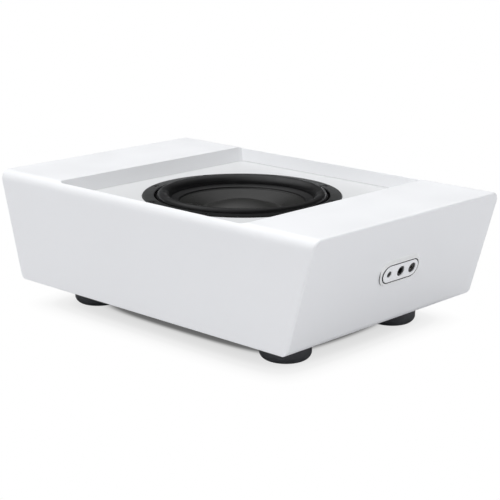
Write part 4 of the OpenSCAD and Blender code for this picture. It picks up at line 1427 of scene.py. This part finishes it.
def jack_cable():
    """Scalloped ribbon, one bump for each wire, from the amplifier board to the sockets."""
    mesh = Skin()
    wires, steps = 16, 40
    depth = 18.2                           # behind the end face, along its normal
    start_x, start_z = 177.0, BOARD_TOP
    finish_x, finish_z = END_ORIGIN[0] - depth / cosd(LEAN) - 4.2, MID_Z - 12
    points = []
    for i in range(steps + 1):
        rise = 1 - cos(pi / 2 * i / steps)
        points.append((start_x + (finish_x - start_x) * i / steps - 0.45, -26.0,
                       start_z + (finish_z - start_z) * rise + 0.45))
    rows = []
    for face, order in ((1, range(wires)), (-1, range(wires - 1, -1, -1))):
        for k in order:
            for angle in (-60 * face, -20 * face, 20 * face, 60 * face):
                rows.append((-8 + k + 0.5 + 0.5 * sind(angle),
                             face * (0.22 + 0.3 * cosd(angle)), sind(angle),
                             face * cosd(angle)))
    mesh.sweep(points, (0, 1, 0), rows)
    mesh.make("jack_ribbon_cable", [RIBBON], "jack_cable", slot="cable_grey")


speaker_cable()
jack_cable()


# ---------------------------------------------------------------- amplifier board parts
def capacitors():
    mesh = Skin()
    x, z = 136, BOARD_TOP
    vent_z = z + 29.6
    rows = section([
        (0.0, z), (8.2, z), (9.0, z + 0.8), (9.0, z + 2.6, 0.15), (8.55, z + 3.5, 0.3),
        (9.0, z + 4.4, 0.15), (9.0, z + 30, 1.0), (7.9, z + 30, 0.2), (7.7, vent_z, 0.2),
        (0.0, vent_z)], 5, closed=False)
    slots = [0] * (len(rows) - 2) + [1]
    for y in (30, 50, 70):
        mesh.loft(circle(72, x, y), rows, slot=slots, closed=False)
        for angle in (0, 60, 120):         # lines scored across the top
            place, turn = upright(x, y, vent_z, angle)
            mesh.sweep([place((along, 0, 0.0)) for along in (-6, -5.6, 5.6, 6)],
                       turn((0, 1, 0)), round_section(0.22, 8), 2,
                       lambda i, j: 0.5 if i in (0, 3) else 1.0)
    mesh.make("filter_capacitor_cans", [SLEEVE, ALUMINIUM, CHIP], "filter_capacitors",
              slot="cap_sleeve")


def inductors():
    mesh = Skin()
    turns, low, high = 22, BOARD_TOP, BOARD_TOP + 9
    rows = section([(3.4, low, 1.2), (7.6, low, 1.2), (7.6, high, 1.2), (3.4, high, 1.2)], 4)

    def wind(nx, ny, out, height):
        bulge = 0.36 * abs(cos(turns * atan2(ny, nx) / 2)) ** 0.6
        return (out + (bulge if out > 5.5 else -bulge),
                height + (bulge * 0.3 if height > low + 4.5 else 0.0))

    for y in (18, 38):
        mesh.loft(circle(176, 160, y), rows, shift=wind)
    mesh.make("output_inductor_toroids", [COPPER], "output_inductors", slot="copper")


def small_box(mesh, x, y, z, size, slot, edge=0.15):
    """Block with rounded upright and top edges; x, y, z is its low corner."""
    length, width, height = size
    corner_r = min(edge, length / 3, width / 3)
    path = [(x + length / 2 + px, y + width / 2 + py, nx, ny)
            for px, py, nx, ny in round_rectangle(length / 2, width / 2, corner_r, 3, 2)]
    rows = flipped(section([(-min(length, width) * 0.4, z + height), (0, z + height, edge),
                            (0, z)], 3, closed=False))[1:]
    mesh.loft(path, rows, slot=slot, closed=False)
    mesh.fill([outline(path, rows[0][0])], z + height, 1.0, slot=slot)
    mesh.fill([outline(path, 0)], z, -1.0, slot=slot)


def board_parts():
    """Small parts with a bright cap on each end, on a grid round the larger ones."""
    mesh = Skin()
    cap = 0.35
    count = 0
    for i in range(9):
        for j in range(12):
            x, y = 116.5 + i * 7.1, -8.0 + j * 6.8
            skipped = (
                abs(x - 136) < 12 and 18 < y < 82,       # capacitors
                149 < x + 1 < 175 and 8 < y < 49,        # inductors
                x > 144 and 49 < y < 71,
                x < 126 and -15 < y < 15,
                (i * 7 + j * 5 + i * j) % 3 == 0,        # gaps in the pattern
                y > 68 and x > 164,
                abs(x - 118) < 5 and y > 66,
                127 <= x <= 170 and y <= 0)
            if any(skipped):
                continue
            count += 1
            length, width, height = (3.2, 1.6, 0.6) if count % 4 == 0 else (2.0, 1.25, 0.5)
            if count % 2:
                length, width = width, length
            small_box(mesh, x, y, BOARD_TOP, (length, width, height), 0 if count % 3 else 1)
            if length > width:
                for end in (x - cap, x + length - 0.1):
                    small_box(mesh, end, y, BOARD_TOP, (cap + 0.1, width, height * 0.8), 2, 0.08)
            else:
                for end in (y - cap, y + width - 0.1):
                    small_box(mesh, x, end, BOARD_TOP, (length, cap + 0.1, height * 0.8), 2, 0.08)
    mesh.make("amp_board_parts", [CHIP, INDUCTOR, ZINC], slot="chip")


capacitors()
inductors()
board_parts()


# ---------------------------------------------------------------- wadding
# Padded fabric blown up by a cloth simulation. Lengths are metres here.
def box_grid(low, high, step):
    """Closed box surface as a quad grid."""
    grid = bmesh.new()
    nx, ny, nz = [max(2, int(round((high[k] - low[k]) / step))) for k in range(3)]
    seen = {}

    def spot(*cell):
        if cell not in seen:
            shares = (cell[0] / nx, cell[1] / ny, cell[2] / nz)
            seen[cell] = grid.verts.new([low[k] + (high[k] - low[k]) * shares[k]
                                         for k in range(3)])
        return seen[cell]

    def quad(*cells):
        grid.faces.new([spot(*cell) for cell in cells])

    for i in range(nx):
        for j in range(ny):
            quad((i, j, 0), (i, j + 1, 0), (i + 1, j + 1, 0), (i + 1, j, 0))
            quad((i, j, nz), (i + 1, j, nz), (i + 1, j + 1, nz), (i, j + 1, nz))
    for i in range(nx):
        for k in range(nz):
            quad((i, 0, k), (i + 1, 0, k), (i + 1, 0, k + 1), (i, 0, k + 1))
            quad((i, ny, k), (i, ny, k + 1), (i + 1, ny, k + 1), (i + 1, ny, k))
    for j in range(ny):
        for k in range(nz):
            quad((0, j, k), (0, j, k + 1), (0, j + 1, k + 1), (0, j + 1, k))
            quad((nx, j, k), (nx, j + 1, k), (nx, j + 1, k + 1), (nx, j, k + 1))
    return grid


def read_vectors(mesh, field):
    flat = np.empty(len(mesh.vertices) * 3)
    mesh.vertices.foreach_get(field, flat)
    return flat.reshape(-1, 3)


def write_places(mesh, places):
    mesh.vertices.foreach_set("co", places.ravel())
    mesh.update()


def blow_up(pad, start):
    """How far each vertex moves when the cloth is put under pressure."""
    cloth = pad.modifiers.new("Cloth", "CLOTH")
    settings = cloth.settings
    settings.quality = 4
    settings.mass = 0.002
    settings.tension_stiffness = settings.compression_stiffness = 3
    settings.shear_stiffness = 1.5
    settings.bending_stiffness = 0.4
    settings.use_pressure = True
    settings.uniform_pressure_force = 4
    settings.effector_weights.gravity = 0
    cloth.collision_settings.use_collision = False
    cloth.point_cache.frame_start = 1
    cloth.point_cache.frame_end = 20
    for number in range(1, 21):
        scene.frame_set(number)
    evaluated = pad.evaluated_get(bpy.context.evaluated_depsgraph_get())
    blown = read_vectors(evaluated.to_mesh(), "co")
    evaluated.to_mesh_clear()
    pad.modifiers.remove(cloth)
    scene.frame_set(1)
    move = blown - start
    length = np.linalg.norm(move, axis=1)
    farthest = 0.008
    return move * (np.minimum(length, farthest) / np.maximum(length, 1e-9))[:, None]


def wadding(node, thin, tufts):
    """Thin is the axis across the pad; tufts are counted along the other two."""
    low, high = (corner / 1000 for corner in box_mm(node))
    size, middle = high - low, (low + high) / 2
    inset = np.array([0.004] * 3)
    inset[thin] = 0.19 * size[thin] if size[thin] < 0.03 else 0.007
    grid = box_grid(low + inset, high - inset, 0.0062)
    name = node + "_pad"
    mesh = bpy.data.meshes.new(name)
    grid.to_mesh(mesh)
    grid.free()
    pad = bpy.data.objects.new(name, mesh)
    scene.collection.objects.link(pad)
    start = read_vectors(mesh, "co").copy()
    half = size / 2 - inset
    # round the block's edges before it is blown up
    share = np.abs(start - middle) / half
    bulge = (share ** 8).sum(1) ** (1 / 8)
    start = middle + (start - middle) / np.maximum(bulge, share.max(1))[:, None]
    write_places(mesh, start)
    move = blow_up(pad, start)
    write_places(mesh, start + move)
    smoother = pad.modifiers.new("sub", "SUBSURF")
    smoother.levels = smoother.render_levels = 1
    depsgraph = bpy.context.evaluated_depsgraph_get()
    smooth = bpy.data.meshes.new_from_object(pad.evaluated_get(depsgraph))
    pad.modifiers.clear()
    pad.data = smooth
    bpy.data.meshes.remove(mesh)
    places, normals = read_vectors(smooth, "co"), read_vectors(smooth, "normal")
    # dents where the layers are tacked together
    first, second = [k for k in range(3) if k != thin]
    u = (places[:, first] - low[first]) / size[first]
    v = (places[:, second] - low[second]) / size[second]
    dents = np.zeros(len(places))
    for a in range(tufts[0]):
        for b in range(tufts[1]):
            distance = (((u - (a + 0.5) / tufts[0]) * size[first]) ** 2
                        + ((v - (b + 0.5) / tufts[1]) * size[second]) ** 2)
            dents += np.exp(-distance / (2 * 0.0075 ** 2))
    depth = 0.0042 if size[thin] > 0.03 else 0.0028
    offset = -depth * dents * np.clip(np.abs(normals[:, thin]), 0, 1)
    for i in range(len(places)):
        place = Vector(places[i])
        offset[i] += (0.0011 * noise.fractal(place * 70, 1.0, 2.0, 4)
                      + 0.0006 * noise.noise(place * 320))
    places = places + normals * offset[:, None]
    places = np.minimum(np.maximum(places, low + 0.0002), high - 0.0002)
    smooth.polygons.foreach_set("use_smooth", [True] * len(smooth.polygons))
    smooth.materials.append(WADDING)
    write_places(smooth, places)
    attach(pad, "cabinet")
    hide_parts(node)


wadding("wadding_left", thin=0, tufts=(4, 2))
wadding("wadding_front", thin=1, tufts=(4, 1))
wadding("wadding_back", thin=1, tufts=(4, 1))

# ---------------------------------------------------------------- CAD pieces that stay
CAD_LOOKS = {
    "bottom_panel": BLACK_BOARD, "bottom_seal": FOAM, "front_rail": PINE, "back_rail": PINE,
    "left_brace": RAW_BOARD, "right_brace": RAW_BOARD, "mounting_gasket": FOAM,
    "basket": BASKET, "coil_former": ALUMINIUM, "voice_coil": COPPER, "spider": SPIDER,
    "top_plate": STEEL, "magnet": FERRITE, "pole_yoke": STEEL, "motor_screws": ZINC,
    "terminal_strip": FIBRE, "terminal_lugs": BRASS, "tinsel_leads": COPPER,
    "switch_plunger": CHIP, "switch_body": ZINC, "jack_bracket": JACK,
    "jack_board": BOARD_GREEN, "jack_screws": ZINC, "amp_board": BOARD_GREEN,
    "board_standoffs": BRASS, "board_screws": ZINC, "amp_chip": CHIP, "heat_sink": ALUMINIUM,
    "filter_capacitors": SLEEVE, "output_inductors": INDUCTOR, "radio_module": ALUMINIUM,
    "speaker_header": HEADER, "speaker_cable": RED_WIRE, "jack_cable": RIBBON,
    "bottom_screws": BLACK_SCREW, "wadding_left": WADDING, "wadding_front": WADDING,
    "wadding_back": WADDING,
}
BEVELS = {
    "bottom_panel": 0.8, "front_rail": 0.6, "back_rail": 0.6, "left_brace": 0.7,
    "right_brace": 0.7, "basket": 0.5, "heat_sink": 0.25, "amp_board": 0.15,
    "jack_board": 0.15, "jack_bracket": 0.35, "amp_chip": 0.25, "board_standoffs": 0.15,
    "radio_module": 0.2, "speaker_header": 0.3, "terminal_strip": 0.3, "terminal_lugs": 0.12,
    "switch_body": 0.2, "switch_plunger": 0.2,
}


def shade_by_angle():
    """Node group: smooth faces, with edges kept sharp above 0.5 radian."""
    group = bpy.data.node_groups.new("shade_by_angle", "GeometryNodeTree")
    for direction in ("INPUT", "OUTPUT"):
        group.interface.new_socket("Geometry", in_out=direction,
                                   socket_type="NodeSocketGeometry")
    new, link = group.nodes.new, group.links.new
    source, result = new("NodeGroupInput"), new("NodeGroupOutput")
    smooth, sharp = new("GeometryNodeSetShadeSmooth"), new("GeometryNodeSetShadeSmooth")
    smooth.domain, sharp.domain = "FACE", "EDGE"
    sharp.inputs["Shade Smooth"].default_value = False
    angle = new("GeometryNodeInputMeshEdgeAngle")
    steep = new("FunctionNodeCompare")
    steep.operation = "GREATER_THAN"
    steep.inputs[1].default_value = 0.5
    link(source.outputs[0], smooth.inputs["Geometry"])
    link(smooth.outputs[0], sharp.inputs["Geometry"])
    link(angle.outputs["Unsigned Angle"], steep.inputs[0])
    link(steep.outputs[0], sharp.inputs["Selection"])
    link(sharp.outputs[0], result.inputs[0])
    return group


def dress_cad():
    group = shade_by_angle()
    for node, look in CAD_LOOKS.items():
        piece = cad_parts[node]
        if piece.hide_render:
            continue
        piece.modifiers.new("shade", "NODES").node_group = group
        if node in BEVELS:
            bevel = piece.modifiers.new("edge", "BEVEL")
            bevel.width = BEVELS[node] / 1000
            bevel.segments = 2
            bevel.limit_method = "ANGLE"
            bevel.angle_limit = radians(35)
            bevel.harden_normals = True
            bevel.use_clamp_overlap = True
        if not piece.material_slots:
            piece.data.materials.append(look)
        for entry in piece.material_slots:
            entry.material = look


dress_cad()

# ---------------------------------------------------------------- floor
# Painted shadow: the floor's brightness for the camera follows the square root of the share of sky
# left open above a spot.
FLOOR_CURVE = [
    (0.0, 0.05), (0.2, 0.12), (0.24, 0.13), (0.259, 0.165), (0.27, 0.37), (0.284, 0.64),
    (0.303, 0.71), (0.34, 0.735), (0.38, 0.765), (0.42, 0.81), (0.46, 0.85), (0.53, 0.88),
    (0.6, 0.93), (0.7, 0.965), (0.85, 1.0), (1.0, 1.0)]


def hidden_sky(nodes, position):
    """Share of the sky that the raised cabinet's underside hides, summed over its corners."""
    hidden = None
    height = BASE_Z / 1000

    def reach(axis, side, half):
        shifted = nodes.math("ADD", nodes.math("MULTIPLY", position.outputs[axis], side), half)
        return nodes.math("DIVIDE", shifted, height)

    def slant(value):
        return nodes.math("SQRT", nodes.math("ADD", nodes.math("MULTIPLY", value, value), 1.0))

    def term(along, across):
        root = slant(along)
        return nodes.math("MULTIPLY", nodes.math("DIVIDE", along, root),
                          nodes.math("ARCTANGENT", nodes.math("DIVIDE", across, root)))

    for side_x in (1, -1):
        for side_y in (1, -1):
            along = reach("X", side_x, (TURN_X + 4) / 1000)
            across = reach("Y", side_y, HALF_DEPTH / 1000)
            both = nodes.math("ADD", term(along, across), term(across, along))
            part = nodes.math("MULTIPLY", both, 1 / (2 * pi))
            hidden = part if hidden is None else nodes.math("ADD", hidden, part)
    return hidden


def studio_floor():
    """White paper, glowing for the camera with a painted shadow under the cabinet, and clear from
    below.
    """
    mesh = bpy.data.meshes.new("floor")
    half, z = 6, -0.0001
    mesh.from_pydata([(-half, -half, z), (half, -half, z), (half, half, z), (-half, half, z)],
                     [], [(0, 1, 2, 3)])
    floor = bpy.data.objects.new("floor", mesh)
    scene.collection.objects.link(floor)
    paper = material("studio_floor", (0.74, 0.74, 0.75), rough=0.9, vary=0.002, vary_scale=2,
                     rough_vary=0.02, spec=0.0)
    mesh.materials.append(paper)
    nodes = Nodes(paper.node_tree)
    surface = nodes.add("NewGeometry")
    position = nodes.add("SeparateXYZ", {0: surface.outputs["Position"]})
    open_sky = nodes.math("SUBTRACT", 1.0, hidden_sky(nodes, position))
    root = nodes.math("SQRT", nodes.math("MAXIMUM", open_sky, 0.0))
    curve = nodes.add("FloatCurve", {"Value": root})
    points = curve.mapping.curves[0].points
    points[0].location, points[1].location = FLOOR_CURVE[0], FLOOR_CURVE[-1]
    for knot in FLOOR_CURVE[1:-1]:
        points.new(*knot)
    for point in points:
        point.handle_type = "VECTOR"
    curve.mapping.update()
    painted_shadow_glow = nodes.add("Emission", {"Strength": curve.outputs[0]}).outputs[0]
    by_ray = nodes.mix_shaders(nodes.add("LightPath").outputs["Is Camera Ray"],
                               paper.node_tree.nodes["Principled BSDF"].outputs[0], painted_shadow_glow)
    clear = nodes.add("BsdfTransparent").outputs[0]
    both_sides = nodes.mix_shaders(surface.outputs["Backfacing"], by_ray, clear)
    nodes.put(paper.node_tree.nodes["Material Output"], {"Surface": both_sides})


studio_floor()


# ---------------------------------------------------------------- light
def studio_world():
    """Separate skies for lighting, for mirroring and for the camera."""
    world = bpy.data.worlds.new("studio")
    scene.world = world
    world.use_nodes = True
    for node in list(world.node_tree.nodes):
        world.node_tree.nodes.remove(node)
    nodes = Nodes(world.node_tree)
    cool_white = (0.985, 0.99, 1.0, 1)

    def sky(colour, strength):
        return nodes.add("Background", {"Color": colour, "Strength": strength}).outputs[0]

    direction = nodes.add("TexCoord").outputs["Generated"]
    height = nodes.add("SeparateXYZ", {0: direction}).outputs["Z"]
    lighting = sky(cool_white, nodes.remap(height, 0.0, 1.0, 0.35, 0.80))
    # mirrored sky: dark near the horizon, brighter high up and towards the left front
    high = nodes.remap(height, 0.42, 0.85, 0.02, 0.66)
    leftward = nodes.dot(direction, (-0.945, -0.45, 0.0))
    left = nodes.math("MAXIMUM", nodes.math("MULTIPLY_ADD", leftward, 1.9, 1.0), 0.12)
    mirrored = sky(cool_white, nodes.math("MULTIPLY", high, left))
    rays = nodes.add("LightPath")
    unseen = nodes.mix_shaders(rays.outputs["Is Glossy Ray"], lighting, mirrored)
    everything = nodes.mix_shaders(rays.outputs["Is Camera Ray"], unseen,
                                   sky((1, 1, 1, 1), 1.0))
    nodes.add("OutputWorld", {0: everything})


def soft_sun(name, energy, spread, towards):
    """Wide sun that glossy surfaces do not mirror; towards points at it."""
    light = bpy.data.lights.new(name, "SUN")
    light.energy = energy
    light.angle = radians(spread)
    lamp = bpy.data.objects.new(name, light)
    lamp.visible_glossy = False
    lamp.rotation_euler = Vector(towards).to_track_quat("Z", "Y").to_euler()
    scene.collection.objects.link(lamp)


studio_world()
soft_sun("soft_key", energy=1.52, spread=55, towards=(-0.24, -0.04, 1.0))
soft_sun("soft_fill", energy=0.24, spread=60, towards=(0.62, -0.42, 0.66))

# ---------------------------------------------------------------- camera
# Angles in degrees: turn about Z from the front, height above level, roll about the view.
AZIMUTH, ELEVATION, ROLL = 42.999, 14.6975, 0.3099
# Metres from the middle of the top face along the view's own axes.
CAMERA_RIGHT, CAMERA_UP, CAMERA_BACK = 0.008784459, -0.075120093, 1.52557482
LENS = 102.272805                          # millimetres, on a sensor 36 wide


def camera():
    back = Vector((sind(AZIMUTH) * cosd(ELEVATION), -cosd(AZIMUTH) * cosd(ELEVATION),
                   sind(ELEVATION)))
    right = Vector((cosd(AZIMUTH), sind(AZIMUTH), 0.0))
    up = back.cross(right)
    location = right * CAMERA_RIGHT + up * CAMERA_UP + back * CAMERA_BACK
    location.z += TOP_Z / 1000
    rolled_right = right * cosd(ROLL) + up * sind(ROLL)
    rolled_up = -right * sind(ROLL) + up * cosd(ROLL)
    data = bpy.data.cameras.new("camera")
    made = bpy.data.objects.new("camera", data)
    scene.collection.objects.link(made)
    data.sensor_width = 36
    data.sensor_fit = "HORIZONTAL"
    data.lens = LENS
    data.clip_start, data.clip_end = 0.05, 50
    turn = Matrix((rolled_right, rolled_up, back)).transposed().to_4x4()
    made.matrix_world = Matrix.Translation(location) @ turn
    scene.camera = made


camera()
scene.view_settings.view_transform = "Standard"
scene.view_settings.look = "None"
